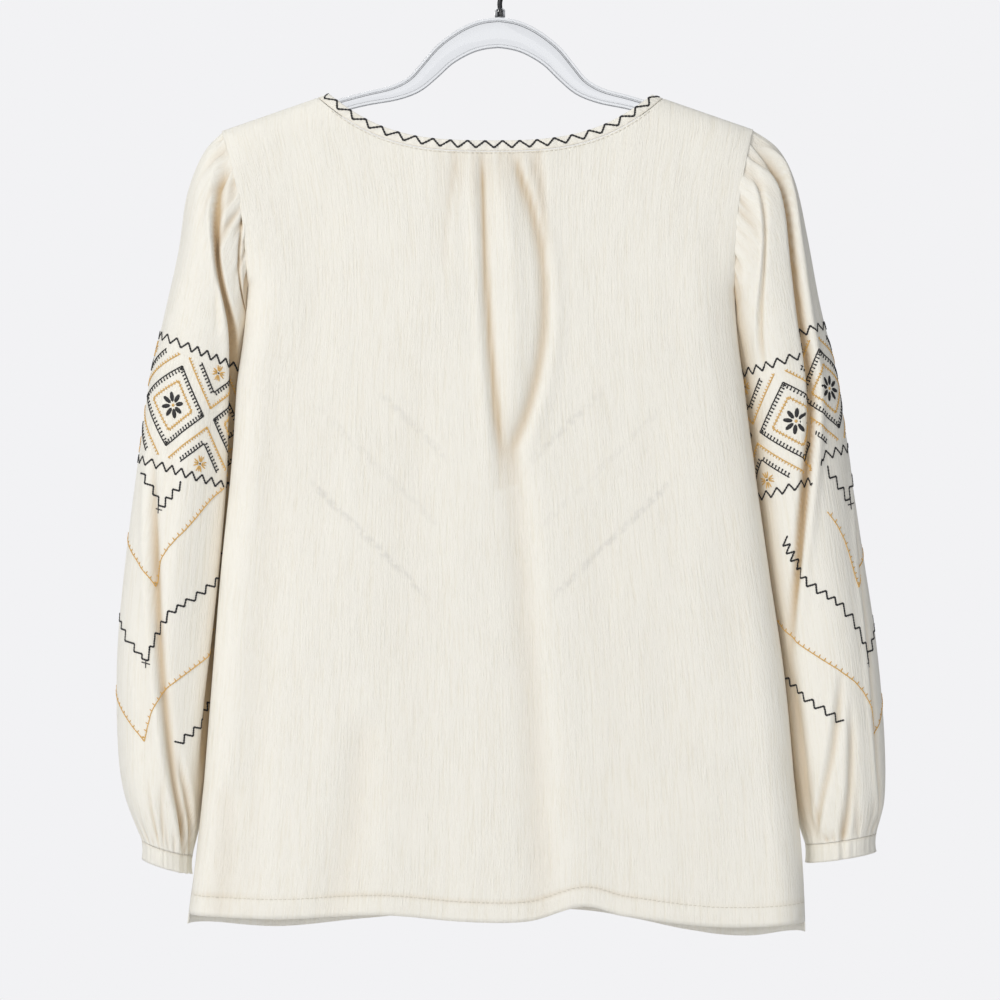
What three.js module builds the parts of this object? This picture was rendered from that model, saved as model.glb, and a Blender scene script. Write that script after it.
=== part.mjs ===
// Peasant blouse of crinkled cotton, hanging on a clear plastic hanger.
// Millimetres, +Z up. The back of the blouse faces -Y, its front faces +Y.
// The origin is the inside crown of the hanger's hook, where a rail carries it.

import * as THREE from 'three';

const { clamp, lerp, smoothstep } = THREE.MathUtils;

// Cloth
const clothThickness = 1.2;
const hemThickness = 2.2;
const hemHeight = 15;
const bandThickness = 1.6;
const seamGap = 0.3;
const seamHalfGap = 0.2;

// Shoulders and neck
const shoulder = { apexX: -8, apexZ: -77.4, slope: 0.347, round: 22 };
const neck = { centreX: -7.2, halfWidth: 122.8, bandWidth: 8, seamGap: 0.4 };
const backNeck = { lowZ: -156, power: 3 };
const frontNeck = { lowZ: -214, power: 2.3 };

// Side seams and armholes
const sideRound = 25;
const armhole = {
  curve: 5,
  halfDepth: 14,
  leftX: -211.3,
  rightX: 192.3,
  lowLeftZ: -264,
  lowRightZ: -268,
  seamGap: 0.55,
};

// Where the side seams run, from the underarm down.
const sideRows = [
  { z: -264, left: -192.3, right: 178.6 },
  { z: -300, left: -194.5, right: 180.2 },
  { z: -340, left: -200, right: 185.5 },
  { z: -400, left: -204, right: 193.2 },
  { z: -480, left: -212, right: 204.2 },
  { z: -560, left: -218.5, right: 216 },
  { z: -640, left: -224.8, right: 223.5 },
  { z: -700, left: -231, right: 229.6 },
  { z: -765, left: -239, right: 232.3 },
];

// How far each panel hangs from the plane of the seams.
const depthRows = [
  { z: -60, back: 11, front: 11 },
  { z: -150, back: 12, front: 12 },
  { z: -260, back: 17, front: 18 },
  { z: -400, back: 20, front: 22 },
  { z: -580, back: 23, front: 25 },
  { z: -765, back: 25, front: 27 },
];

// The lower edge of each panel.
const hemRows = [
  { x: -240, back: -742, front: -750 },
  { x: -170, back: -744.5, front: -754.5 },
  { x: -90, back: -741.5, front: -747 },
  { x: -25, back: -746.5, front: -742 },
  { x: 22, back: -746, front: -741 },
  { x: 62, back: -735, front: -742 },
  { x: 92, back: -742, front: -747 },
  { x: 150, back: -749.5, front: -758 },
  { x: 190, back: -750.5, front: -762 },
  { x: 235, back: -748, front: -756 },
];

// Soft troughs of the panels: a trough runs down from its top to its low end and bows sideways.
const panelFolds = {
  back: [
    { topX: -14, topZ: -164, lowX: 0, lowZ: -392, bow: -3, width: 6, depth: 4 },
    { topX: 12, topZ: -168, lowX: 16, lowZ: -392, bow: 20, width: 7, depth: 4 },
    { topX: 2, topZ: -385, lowX: 34, lowZ: -742, bow: 4, width: 16, depth: 7 },
    { topX: -108, topZ: -600, lowX: -128, lowZ: -742, bow: 4, width: 22, depth: 5 },
    { topX: 120, topZ: -330, lowX: 150, lowZ: -742, bow: -6, width: 26, depth: 3 },
    { topX: -160, topZ: -300, lowX: -190, lowZ: -742, bow: 6, width: 16, depth: 4 },
  ],
  front: [
    { topX: -60, topZ: -240, lowX: -96, lowZ: -748, bow: 10, width: 18, depth: 6 },
    { topX: 44, topZ: -240, lowX: 62, lowZ: -748, bow: -8, width: 16, depth: 6 },
    { topX: -8, topZ: -226, lowX: -20, lowZ: -560, bow: 6, width: 12, depth: 4 },
    { topX: 118, topZ: -330, lowX: 152, lowZ: -748, bow: 8, width: 20, depth: 5 },
    { topX: -150, topZ: -380, lowX: -168, lowZ: -748, bow: -6, width: 20, depth: 4 },
  ],
};

// Sleeve rings from the armhole to the cuff: the outer and the inner end of each ring,
// its half depth, and how far its middle lies towards the front.
const sleeveRows = {
  left: [
    { outerX: -211.3, outerZ: -147.9, innerX: -192.3, innerZ: -264, deep: 14, forward: 0 },
    { outerX: -225.5, outerZ: -164, innerX: -193.6, innerZ: -281, deep: 22, forward: 4 },
    { outerX: -238.5, outerZ: -196.5, innerX: -193.8, innerZ: -297, deep: 28, forward: 10 },
    { outerX: -245.5, outerZ: -238, innerX: -195.4, innerZ: -311, deep: 32, forward: 15 },
    { outerX: -257, outerZ: -287.5, innerX: -197.6, innerZ: -330, deep: 34, forward: 18 },
    { outerX: -267.5, outerZ: -333, innerX: -200, innerZ: -364, deep: 35, forward: 20 },
    { outerX: -275, outerZ: -386.5, innerX: -202.6, innerZ: -412, deep: 36, forward: 21 },
    { outerX: -285, outerZ: -466, innerX: -209.2, innerZ: -488, deep: 38, forward: 21 },
    { outerX: -292, outerZ: -542, innerX: -216, innerZ: -561, deep: 38, forward: 21 },
    { outerX: -292, outerZ: -611, innerX: -222, innerZ: -627, deep: 37, forward: 20 },
    { outerX: -287, outerZ: -653, innerX: -227.5, innerZ: -668, deep: 34, forward: 18 },
    { outerX: -273.5, outerZ: -687.5, innerX: -235, innerZ: -699, deep: 28, forward: 16 },
  ],
  right: [
    { outerX: 192.3, outerZ: -146.9, innerX: 178.6, innerZ: -268, deep: 14, forward: 0 },
    { outerX: 212, outerZ: -161.5, innerX: 180.2, innerZ: -284, deep: 22, forward: 4 },
    { outerX: 225.5, outerZ: -187, innerX: 180.3, innerZ: -297, deep: 28, forward: 10 },
    { outerX: 235, outerZ: -227, innerX: 181.5, innerZ: -313, deep: 32, forward: 15 },
    { outerX: 245, outerZ: -280, innerX: 183.6, innerZ: -333, deep: 34, forward: 18 },
    { outerX: 257, outerZ: -331, innerX: 188.2, innerZ: -367.5, deep: 35, forward: 20 },
    { outerX: 265, outerZ: -386.5, innerX: 194.8, innerZ: -422, deep: 36, forward: 21 },
    { outerX: 276, outerZ: -462.5, innerX: 204, innerZ: -493, deep: 38, forward: 21 },
    { outerX: 287.5, outerZ: -538.5, innerX: 214, innerZ: -559, deep: 38, forward: 21 },
    { outerX: 294, outerZ: -610.5, innerX: 220.8, innerZ: -623.5, deep: 37, forward: 20 },
    { outerX: 294, outerZ: -656, innerX: 226, innerZ: -665.5, deep: 34, forward: 18 },
    { outerX: 287.5, outerZ: -682, innerX: 233, innerZ: -690.5, deep: 28, forward: 16 },
  ],
};

// Soft troughs of the sleeves. Around runs from 0 at the outer line over the back, 0.25,
// to the body side, 0.5, and over the front; from and to are fractions of the sleeve's length.
const sleeveFolds = {
  left: [
    { around: 0.36, aroundLow: 0.38, from: 0.06, to: 0.72, width: 0.035, depth: 7 },
    { around: 0.2, aroundLow: 0.3, from: 0.5, to: 0.98, width: 0.04, depth: 5 },
    { around: 0.68, aroundLow: 0.72, from: 0.1, to: 0.8, width: 0.04, depth: 6 },
    { around: 0.88, aroundLow: 0.84, from: 0.35, to: 0.97, width: 0.04, depth: 5 },
  ],
  right: [
    { around: 0.26, aroundLow: 0.3, from: 0.06, to: 0.8, width: 0.035, depth: 7 },
    { around: 0.1, aroundLow: 0.12, from: 0.4, to: 0.98, width: 0.035, depth: 4 },
    { around: 0.68, aroundLow: 0.7, from: 0.12, to: 0.85, width: 0.04, depth: 6 },
    { around: 0.86, aroundLow: 0.82, from: 0.3, to: 0.97, width: 0.04, depth: 5 },
  ],
};

const cuff = { height: 14, below: seamGap };

// Hanger: a flat band with a rim along both edges, thick in the middle and slim in the arms.
const hanger = { tilt: 0.0151, rimWidth: 8.4, rimHeight: 2.2, webThickness: 3 };
const hangerRows = [
  { x: 0, z: -73.3, height: 22.6 },
  { x: 12, z: -75, height: 22.2 },
  { x: 25, z: -80, height: 20.5 },
  { x: 40, z: -90, height: 18.5 },
  { x: 52, z: -102.5, height: 16.5 },
  { x: 63, z: -113, height: 14 },
  { x: 78, z: -120, height: 11.5 },
  { x: 100, z: -125, height: 10 },
  { x: 120, z: -130.7, height: 9.6 },
  { x: 150, z: -141.2, height: 9.6 },
  { x: 182, z: -152.4, height: 9.6 },
];

// Hook: a wire loop over the rail and a stem screwed into a small collar.
const wire = { radius: 1.9, loopRadius: 20, stemLowZ: -61.4, sides: 8 };
const collar = { outer: 3.9, inner: 2.2, topZ: -55, lowZ: -61.6 };

// How finely the cloth is faceted.
const panelMesh = { shoulderCells: 5, neckCells: 14, rows: 20, topCrowding: 1.6, shoulderCrowding: 1.6 };
const sleeveMesh = { around: 24, along: 20 };

// Position of a key in a table, as a row number with a fraction.
function rowPosition(rows, column, key) {
  const rising = rows[1][column] > rows[0][column];
  let index = 0;
  const isPast = (row) => (rising ? row[column] < key : row[column] > key);
  while (index < rows.length - 2 && isPast(rows[index + 1])) {
    index += 1;
  }
  const part = (key - rows[index][column]) / (rows[index + 1][column] - rows[index][column]);
  return index + clamp(part, 0, 1);
}

// One column of a table at a fractional row number, on a smooth curve through its rows.
function rowValue(rows, position, column) {
  const index = clamp(Math.floor(position), 0, rows.length - 2);
  const part = position - index;
  const before = rows[Math.max(index - 1, 0)][column];
  const start = rows[index][column];
  const end = rows[index + 1][column];
  const after = rows[Math.min(index + 2, rows.length - 1)][column];
  const slopeIn = (end - before) / 2;
  const slopeOut = (after - start) / 2;
  const square = part * part;
  const cube = square * part;
  return (2 * cube - 3 * square + 1) * start + (cube - 2 * square + part) * slopeIn
    + (3 * square - 2 * cube) * end + (cube - square) * slopeOut;
}

// A quarter round: 0 at an edge and 1 once reach is passed.
function quarterRound(inside, reach) {
  const left = 1 - clamp(inside / reach, 0, 1);
  return Math.sqrt(1 - left * left);
}

function shoulderLine(x) {
  return shoulder.apexZ - shoulder.slope * Math.abs(x - shoulder.apexX);
}

// Fraction of the armhole passed at a height, 0 at the shoulder and 1 at the underarm.
function armholePart(z, side) {
  const topZ = shoulderLine(side === 'left' ? armhole.leftX : armhole.rightX);
  const lowZ = side === 'left' ? armhole.lowLeftZ : armhole.lowRightZ;
  return clamp((topZ - z) / (topZ - lowZ), 0, 1);
}

// Where the panels end sideways: the armhole seam above the underarm, the side seam below.
function sideEdge(z, side) {
  const part = armholePart(z, side);
  if (part < 1) {
    const inward = side === 'left' ? 1 : -1;
    const topX = side === 'left' ? armhole.leftX : armhole.rightX;
    const lowX = sideRows[0][side];
    return lerp(topX, lowX, part) + inward * armhole.curve * Math.sin(Math.PI * part);
  }
  return rowValue(sideRows, rowPosition(sideRows, 'z', z), side);
}

// How far the armhole stands open on each side of the seam plane.
function armholeOpen(z, side) {
  const part = armholePart(z, side);
  return 2 * armhole.halfDepth * Math.sqrt(part * (1 - part));
}

function troughDepth(fold, x, z) {
  const part = (fold.topZ - z) / (fold.topZ - fold.lowZ);
  const held = clamp(part, 0, 1);
  const middle = lerp(fold.topX, fold.lowX, held) + fold.bow * 4 * held * (1 - held);
  const across = (x - middle) / fold.width;
  const fade = smoothstep(part, -0.05, 0.15) * (1 - smoothstep(part, 0.9, 1.1) * 0.8);
  return fold.depth * Math.exp(-across * across) * fade;
}

// Distance of a panel from the seam plane at a place on it.
function panelDepth(x, z, face) {
  const leftX = sideEdge(z, 'left');
  const rightX = sideEdge(z, 'right');
  const nearLeft = x - leftX < rightX - x;
  const open = armholeOpen(z, nearLeft ? 'left' : 'right');
  const round = quarterRound(Math.min(x - leftX, rightX - x), sideRound);
  const crown = quarterRound(shoulderLine(x) - z, shoulder.round);
  const full = rowValue(depthRows, rowPosition(depthRows, 'z', z), face) * crown;
  const troughs = panelFolds[face].reduce((sum, fold) => sum + troughDepth(fold, x, z), 0);
  return Math.max(open + (Math.max(full, open) - open) * round - troughs * round, seamHalfGap);
}

// The neck curve, moved outwards from the neck edge by an offset. Part runs from -1 to 1.
function neckPoint(part, offset, face) {
  const shape = face === 'back' ? backNeck : frontNeck;
  const halfWidth = neck.halfWidth + offset;
  const x = neck.centreX + halfWidth * part;
  const endZ = shoulderLine(neck.centreX + halfWidth * Math.sign(part));
  const z = lerp(shape.lowZ - offset, endZ, Math.abs(part) ** shape.power);
  return { x, z: Math.min(z, shoulderLine(x)) };
}

// A cell border of the neck, as a part from -1 to 1, closer together near the shoulders.
function neckPart(cell) {
  return Math.sin(Math.PI * (cell / panelMesh.neckCells - 0.5));
}

// The upper ends of a panel's columns, from one shoulder over the neck to the other.
function panelTops(face) {
  const offset = neck.bandWidth + neck.seamGap;
  const leftNeck = neck.centreX - neck.halfWidth - offset;
  const rightNeck = neck.centreX + neck.halfWidth + offset;
  const tops = [];
  for (let cell = 0; cell < panelMesh.shoulderCells; cell += 1) {
    const x = lerp(armhole.leftX, leftNeck, (cell / panelMesh.shoulderCells) ** panelMesh.shoulderCrowding);
    tops.push({ x, z: shoulderLine(x) });
  }
  for (let cell = 0; cell <= panelMesh.neckCells; cell += 1) {
    tops.push(neckPoint(neckPart(cell), offset, face));
  }
  for (let cell = panelMesh.shoulderCells - 1; cell >= 0; cell -= 1) {
    const x = lerp(armhole.rightX, rightNeck, (cell / panelMesh.shoulderCells) ** panelMesh.shoulderCrowding);
    tops.push({ x, z: shoulderLine(x) });
  }
  return tops;
}

// A closed wall on a grid of outer points. Rows run down; each row either closes on itself or ends.
function wallGeometry(outer, thicknessOf, closes, flipped) {
  const rowCount = outer.length;
  const columnCount = outer[0].length;
  const wrapped = (column) => (column + columnCount) % columnCount;
  const columnBefore = (column) => (closes ? wrapped(column - 1) : Math.max(column - 1, 0));
  const columnAfter = (column) => (closes ? wrapped(column + 1) : Math.min(column + 1, columnCount - 1));
  const inner = outer.map((points, row) => points.map((point, column) => {
    const above = outer[Math.max(row - 1, 0)][column];
    const down = outer[Math.min(row + 1, rowCount - 1)][column].clone().sub(above);
    const across = points[columnAfter(column)].clone().sub(points[columnBefore(column)]);
    const outward = down.cross(across).normalize().multiplyScalar(flipped ? -1 : 1);
    return point.clone().addScaledVector(outward, -thicknessOf(row));
  }));
  const count = rowCount * columnCount;
  const positions = [...outer.flat(), ...inner.flat()].flatMap((point) => [point.x, point.y, point.z]);
  const indices = [];
  const quad = (a, b, c, d) => {
    if (flipped) {
      indices.push(a, c, b, a, d, c);
    } else {
      indices.push(a, b, c, a, c, d);
    }
  };
  const cells = closes ? columnCount : columnCount - 1;
  for (let row = 0; row < rowCount - 1; row += 1) {
    for (let column = 0; column < cells; column += 1) {
      const here = row * columnCount + column;
      const next = row * columnCount + columnAfter(column);
      quad(here, here + columnCount, next + columnCount, next);
      quad(count + here, count + next, count + next + columnCount, count + here + columnCount);
    }
  }
  const last = (rowCount - 1) * columnCount;
  for (let column = 0; column < cells; column += 1) {
    const next = columnAfter(column);
    quad(column, next, count + next, count + column);
    quad(last + next, last + column, count + last + column, count + last + next);
  }
  if (!closes) {
    for (let row = 0; row < rowCount - 1; row += 1) {
      const start = row * columnCount;
      const end = start + columnCount - 1;
      quad(start + columnCount, start, count + start, count + start + columnCount);
      quad(end, end + columnCount, count + end + columnCount, count + end);
    }
  }
  const geometry = new THREE.BufferGeometry();
  geometry.setAttribute('position', new THREE.Float32BufferAttribute(positions, 3));
  geometry.setIndex(indices);
  return { geometry, innerStart: count };
}

// Inner points stay on their own side of the seam plane.
function keepOnSide(wall, sign) {
  const position = wall.geometry.getAttribute('position');
  for (let index = wall.innerStart; index < position.count; index += 1) {
    const y = position.getY(index) * sign;
    position.setY(index, sign * Math.max(y, seamHalfGap));
  }
  return wall.geometry;
}

// The first ring's inner points stay outside the armhole, beside its outer ones.
function keepOutsideArmhole(wall) {
  const position = wall.geometry.getAttribute('position');
  for (let cell = 0; cell < sleeveMesh.around; cell += 1) {
    position.setX(wall.innerStart + cell, position.getX(cell));
  }
  return wall.geometry;
}

// Back or front panel: columns hang from the shoulders and the neck down to the turned-up hem.
function panelGeometry(face) {
  const sign = face === 'back' ? -1 : 1;
  const tops = panelTops(face);
  const hemSteps = [hemHeight + 1, hemHeight, 0];
  const rowCount = panelMesh.rows + hemSteps.length - 1;
  const rows = [];
  for (let row = 0; row <= rowCount; row += 1) {
    rows.push(tops.map((top) => {
      const leftTop = sideEdge(top.z, 'left');
      const part = (top.x - leftTop) / (sideEdge(top.z, 'right') - leftTop);
      const lowX = lerp(sideRows.at(-1).left, sideRows.at(-1).right, part);
      const hemZ = rowValue(hemRows, rowPosition(hemRows, 'x', lowX), face);
      const hemRow = row - panelMesh.rows;
      const down = (row / panelMesh.rows) ** panelMesh.topCrowding;
      const z = hemRow >= 0 ? hemZ + hemSteps[hemRow] : lerp(top.z, hemZ + hemSteps[0], down);
      const x = lerp(sideEdge(z, 'left'), sideEdge(z, 'right'), part);
      return new THREE.Vector3(x, sign * panelDepth(x, z, face), z);
    }));
  }
  const thicknessOf = (row) => (row > panelMesh.rows ? hemThickness : clothThickness);
  return keepOnSide(wallGeometry(rows, thicknessOf, false, face === 'front'), sign);
}

// One place on a sleeve: along from 0 at the armhole to 1 at the cuff, around from 0 to 1.
function sleevePoint(side, along, around) {
  const rows = sleeveRows[side];
  const position = along * (rows.length - 1);
  const value = (column) => rowValue(rows, position, column);
  const troughs = sleeveFolds[side].reduce((sum, fold) => {
    const part = (along - fold.from) / (fold.to - fold.from);
    const middle = lerp(fold.around, fold.aroundLow, clamp(part, 0, 1));
    const across = (around - middle) / fold.width;
    const fade = smoothstep(part, 0, 0.2) * (1 - smoothstep(part, 0.8, 1));
    return sum + fold.depth * Math.exp(-across * across) * fade;
  }, 0);
  const angle = 2 * Math.PI * around;
  const halfX = (value('outerX') - value('innerX')) / 2;
  const halfZ = (value('outerZ') - value('innerZ')) / 2;
  const halfWidth = Math.hypot(halfX, halfZ);
  const deep = value('deep');
  const shrink = 1 - troughs / Math.min(halfWidth, deep);
  const inward = side === 'left' ? 1 : -1;
  const seamCurve = armhole.curve * Math.sin(angle / 2) ** 2 * Math.cos(angle / 2) ** 2 * 4;
  const seamFade = 1 - smoothstep(along, 0, 0.15);
  const seamShift = inward * seamFade * (seamCurve - armhole.seamGap);
  return new THREE.Vector3(
    value('innerX') + halfX + halfX * Math.cos(angle) * shrink + seamShift,
    value('forward') - deep * Math.sin(angle) * shrink,
    value('innerZ') + halfZ + halfZ * Math.cos(angle) * shrink,
  );
}

function sleeveGeometry(side) {
  const rows = [];
  for (let row = 0; row <= sleeveMesh.along; row += 1) {
    const points = [];
    for (let cell = 0; cell < sleeveMesh.around; cell += 1) {
      points.push(sleevePoint(side, row / sleeveMesh.along, cell / sleeveMesh.around));
    }
    rows.push(points);
  }
  return keepOutsideArmhole(wallGeometry(rows, () => clothThickness, true, side === 'right'));
}

// A cuff carries the last ring of its sleeve straight down.
function cuffGeometry(side) {
  const drops = [cuff.below, cuff.below + cuff.height / 2, cuff.below + cuff.height];
  const rows = drops.map((drop) => {
    const points = [];
    for (let cell = 0; cell < sleeveMesh.around; cell += 1) {
      const point = sleevePoint(side, 1, cell / sleeveMesh.around);
      points.push(point.setZ(point.z - drop));
    }
    return points;
  });
  return wallGeometry(rows, () => bandThickness, true, side === 'right').geometry;
}

// The bound neck edge: a narrow band round the whole neck, its back and its front meeting on the shoulders.
function neckBandGeometry() {
  const offsets = [0, neck.bandWidth / 2, neck.bandWidth];
  const place = (part, face, offset) => {
    const point = neckPoint(part, offset, face);
    const depth = Math.max(panelDepth(point.x, point.z, face), 0);
    const onShoulder = Math.abs(part) === 1;
    return new THREE.Vector3(point.x, onShoulder ? 0 : depth * (face === 'back' ? -1 : 1), point.z);
  };
  const rows = offsets.map((offset) => {
    const points = [];
    for (let cell = 0; cell < panelMesh.neckCells; cell += 1) {
      points.push(place(neckPart(cell), 'back', offset));
    }
    for (let cell = panelMesh.neckCells; cell > 0; cell -= 1) {
      points.push(place(neckPart(cell), 'front', offset));
    }
    return points;
  });
  return wallGeometry(rows, () => bandThickness, true, false).geometry;
}

// The hanger's section, as places across the band and along its height.
function hangerSection(height) {
  const rim = hanger.rimWidth / 2;
  const web = hanger.webThickness / 2;
  const top = height / 2;
  const step = top - hanger.rimHeight;
  return [
    [-rim, top], [rim, top], [rim, step], [web, step], [web, -step], [rim, -step],
    [rim, -top], [-rim, -top], [-rim, -step], [-web, -step], [-web, step], [-rim, step],
  ];
}

function hangerGeometry() {
  const stations = [];
  const steps = 2 * (hangerRows.length - 1);
  for (let step = -steps; step <= steps; step += 1) {
    const position = Math.abs(step) / 2;
    const side = Math.sign(step);
    stations.push({
      x: side * rowValue(hangerRows, position, 'x'),
      z: rowValue(hangerRows, position, 'z'),
      height: rowValue(hangerRows, position, 'height'),
    });
  }
  const rings = stations.map((station, index) => {
    const before = stations[Math.max(index - 1, 0)];
    const after = stations[Math.min(index + 1, stations.length - 1)];
    const along = new THREE.Vector2(after.x - before.x, after.z - before.z).normalize();
    return hangerSection(station.height).map(([across, up]) => (
      new THREE.Vector3(station.x - along.y * up, across, station.z + along.x * up)));
  });
  const sides = rings[0].length;
  const indices = [];
  for (let ring = 0; ring < rings.length - 1; ring += 1) {
    for (let side = 0; side < sides; side += 1) {
      const here = ring * sides + side;
      const next = ring * sides + (side + 1) % sides;
      indices.push(here, next + sides, next, here, here + sides, next + sides);
    }
  }
  const endSection = hangerSection(hangerRows.at(-1).height);
  const outline = endSection.map(([across, up]) => new THREE.Vector2(across, up));
  const last = (rings.length - 1) * sides;
  for (const [a, b, c] of THREE.ShapeUtils.triangulateShape(outline, [])) {
    indices.push(a, c, b, last + a, last + b, last + c);
  }
  const positions = rings.flat().flatMap((point) => [point.x, point.y, point.z]);
  const geometry = new THREE.BufferGeometry();
  geometry.setAttribute('position', new THREE.Float32BufferAttribute(positions, 3));
  geometry.setIndex(indices);
  return geometry;
}

// The hook's wire, from the stem in the collar round the loop to its free tip.
function hookGeometry() {
  const middleZ = wire.radius - wire.loopRadius;
  const points = [
    new THREE.Vector3(0, 0, wire.stemLowZ),
    new THREE.Vector3(0, 0, wire.stemLowZ + 6),
    new THREE.Vector3(0, 0, wire.stemLowZ + 12),
    new THREE.Vector3(3, 0, middleZ - wire.loopRadius - 4),
  ];
  for (let degrees = -45; degrees <= 195; degrees += 20) {
    const angle = THREE.MathUtils.degToRad(degrees);
    points.push(new THREE.Vector3(
      wire.loopRadius * Math.cos(angle), 0, middleZ + wire.loopRadius * Math.sin(angle)));
  }
  const section = new THREE.Shape();
  for (let side = 0; side < wire.sides; side += 1) {
    const angle = 2 * Math.PI * side / wire.sides;
    const place = [wire.radius * Math.cos(angle), wire.radius * Math.sin(angle)];
    if (side === 0) {
      section.moveTo(...place);
    } else {
      section.lineTo(...place);
    }
  }
  section.closePath();
  const path = new THREE.CatmullRomCurve3(points);
  return new THREE.ExtrudeGeometry(section, { steps: 44, extrudePath: path, curveSegments: 1 });
}

function collarGeometry() {
  const profile = [
    new THREE.Vector2(collar.inner, collar.lowZ),
    new THREE.Vector2(collar.outer, collar.lowZ),
    new THREE.Vector2(collar.outer, collar.topZ - 1),
    new THREE.Vector2(collar.outer - 1, collar.topZ),
    new THREE.Vector2(collar.inner, collar.topZ),
    new THREE.Vector2(collar.inner, collar.lowZ),
  ];
  return new THREE.LatheGeometry(profile, 16).rotateX(Math.PI / 2);
}

const cottonColor = new THREE.Color(0.93, 0.9, 0.82);
const clearColor = new THREE.Color(0.9, 0.92, 0.94);
const blackColor = new THREE.Color(0.03, 0.03, 0.035);

function named(name, geometry, color, roughness, metalness) {
  const material = new THREE.MeshStandardMaterial({ color, roughness, metalness });
  const mesh = new THREE.Mesh(geometry, material);
  mesh.name = name;
  return mesh;
}

const blouse = new THREE.Group();
blouse.add(named('back_panel', panelGeometry('back'), cottonColor, 0.9, 0));
blouse.add(named('front_panel', panelGeometry('front'), cottonColor, 0.9, 0));
blouse.add(named('neck_band', neckBandGeometry(), cottonColor, 0.9, 0));
for (const side of ['left', 'right']) {
  blouse.add(named(`sleeve_${side}`, sleeveGeometry(side), cottonColor, 0.9, 0));
  blouse.add(named(`cuff_${side}`, cuffGeometry(side), cottonColor, 0.9, 0));
}

const hangerGroup = new THREE.Group();
hangerGroup.rotation.y = hanger.tilt;
hangerGroup.add(named('hanger_body', hangerGeometry(), clearColor, 0.1, 0));
hangerGroup.add(named('hook_collar', collarGeometry(), blackColor, 0.3, 0.8));
hangerGroup.add(named('hanger_hook', hookGeometry(), blackColor, 0.35, 0.8));

const object = new THREE.Group();
object.add(blouse);
object.add(hangerGroup);

export default object;
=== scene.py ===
import math
import random
import bpy
import bmesh
from mathutils import Matrix, Vector


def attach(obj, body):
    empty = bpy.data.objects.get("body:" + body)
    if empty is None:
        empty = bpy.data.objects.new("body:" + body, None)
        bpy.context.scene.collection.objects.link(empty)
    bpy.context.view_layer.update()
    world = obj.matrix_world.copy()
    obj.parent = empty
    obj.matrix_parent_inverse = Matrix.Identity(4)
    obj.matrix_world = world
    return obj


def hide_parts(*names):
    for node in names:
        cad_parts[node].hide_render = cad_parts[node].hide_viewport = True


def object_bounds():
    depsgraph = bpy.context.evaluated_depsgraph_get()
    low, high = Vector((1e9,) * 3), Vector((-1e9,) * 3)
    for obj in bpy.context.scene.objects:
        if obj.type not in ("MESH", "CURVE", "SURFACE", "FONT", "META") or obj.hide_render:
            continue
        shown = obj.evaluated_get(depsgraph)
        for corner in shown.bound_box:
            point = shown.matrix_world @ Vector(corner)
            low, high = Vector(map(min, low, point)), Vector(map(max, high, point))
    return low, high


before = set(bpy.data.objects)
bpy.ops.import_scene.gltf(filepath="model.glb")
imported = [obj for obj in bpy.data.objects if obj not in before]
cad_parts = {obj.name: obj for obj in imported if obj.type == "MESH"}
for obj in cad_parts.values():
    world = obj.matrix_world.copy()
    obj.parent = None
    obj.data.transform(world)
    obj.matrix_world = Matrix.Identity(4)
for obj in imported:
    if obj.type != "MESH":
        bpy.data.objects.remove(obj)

# A peasant blouse of crinkled cotton on a clear hanger. Tables are in millimetres, pieces in metres.
# The back of the blouse faces -Y, the front +Y, and the hook's crown is the origin.

mm = 0.001
cadLow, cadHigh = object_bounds()
scene = bpy.context.scene
inwardOf = {"left": 1, "right": -1}  # along X, from a sleeve towards the body
outwardOf = {"back": -1, "front": 1}  # along Y, out of a panel


# Sums that every cloth piece uses.

def clamp(value, low=0.0, high=1.0):
    return max(low, min(high, value))


def mix(start, end, part):
    return start + (end - start) * part


def ease(value, low=0.0, high=1.0):
    part = clamp((value - low) / (high - low))
    return part * part * (3 - 2 * part)


def quarterRound(inside, reach):
    left = 1 - clamp(inside / reach)
    return math.sqrt(1 - left * left)


def hill(value, width):
    return math.exp(-(value / width) ** 2)


def table(columns, rows):  # rows of numbers under named columns
    names = columns.split()
    return [dict(zip(names, row)) for row in rows]


def rowPosition(rows, column, key):  # a row number with its fraction
    rising = rows[1][column] > rows[0][column]
    index = 0
    while index < len(rows) - 2 and (rows[index + 1][column] < key) == rising:
        index += 1
    start, end = rows[index][column], rows[index + 1][column]
    return index + clamp((key - start) / (end - start))


def rowValue(rows, position, column):  # on a smooth curve through the rows
    index = int(clamp(math.floor(position), 0, len(rows) - 2))
    part = position - index
    before = rows[max(index - 1, 0)][column]
    start = rows[index][column]
    end = rows[index + 1][column]
    after = rows[min(index + 2, len(rows) - 1)][column]
    square, cube = part * part, part ** 3
    return ((2 * cube - 3 * square + 1) * start + (cube - 2 * square + part) * (end - before) / 2
            + (3 * square - 2 * cube) * end + (cube - square) * (after - start) / 2)


# The cut: shoulders, neck, side seams.

shoulder = {"apexX": -8, "apexZ": -77.4, "slope": 0.347, "round": 22}
neck = {"centreX": -7.2, "halfWidth": 122.8, "bandWidth": 8, "seamGap": 0.4}
neckShape = {"back": {"lowZ": -156, "power": 3}, "front": {"lowZ": -214, "power": 2.3}}
armhole = {"curve": 5, "halfDepth": 14, "seamLap": 1.6,
           "left": {"topX": -211.3, "lowZ": -264}, "right": {"topX": 192.3, "lowZ": -268}}
panel = {"columns": 176, "rows": 190, "sideRound": 25, "shoulderShare": 0.19,
         "shoulderCrowding": 1.35, "neckCrowding": 0.75, "lowCrowding": 1.25, "leastDepth": 0.35,
         "cutHeight": 650, "waveSeed": {"back": 0.6, "front": 2.2}}
hem = {"height": 15, "groove": 0.45, "grooveWidth": 1.1, "pucker": 0.22, "puckerWidth": 5,
       "body": 0.5, "shade": 0.25}

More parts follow.
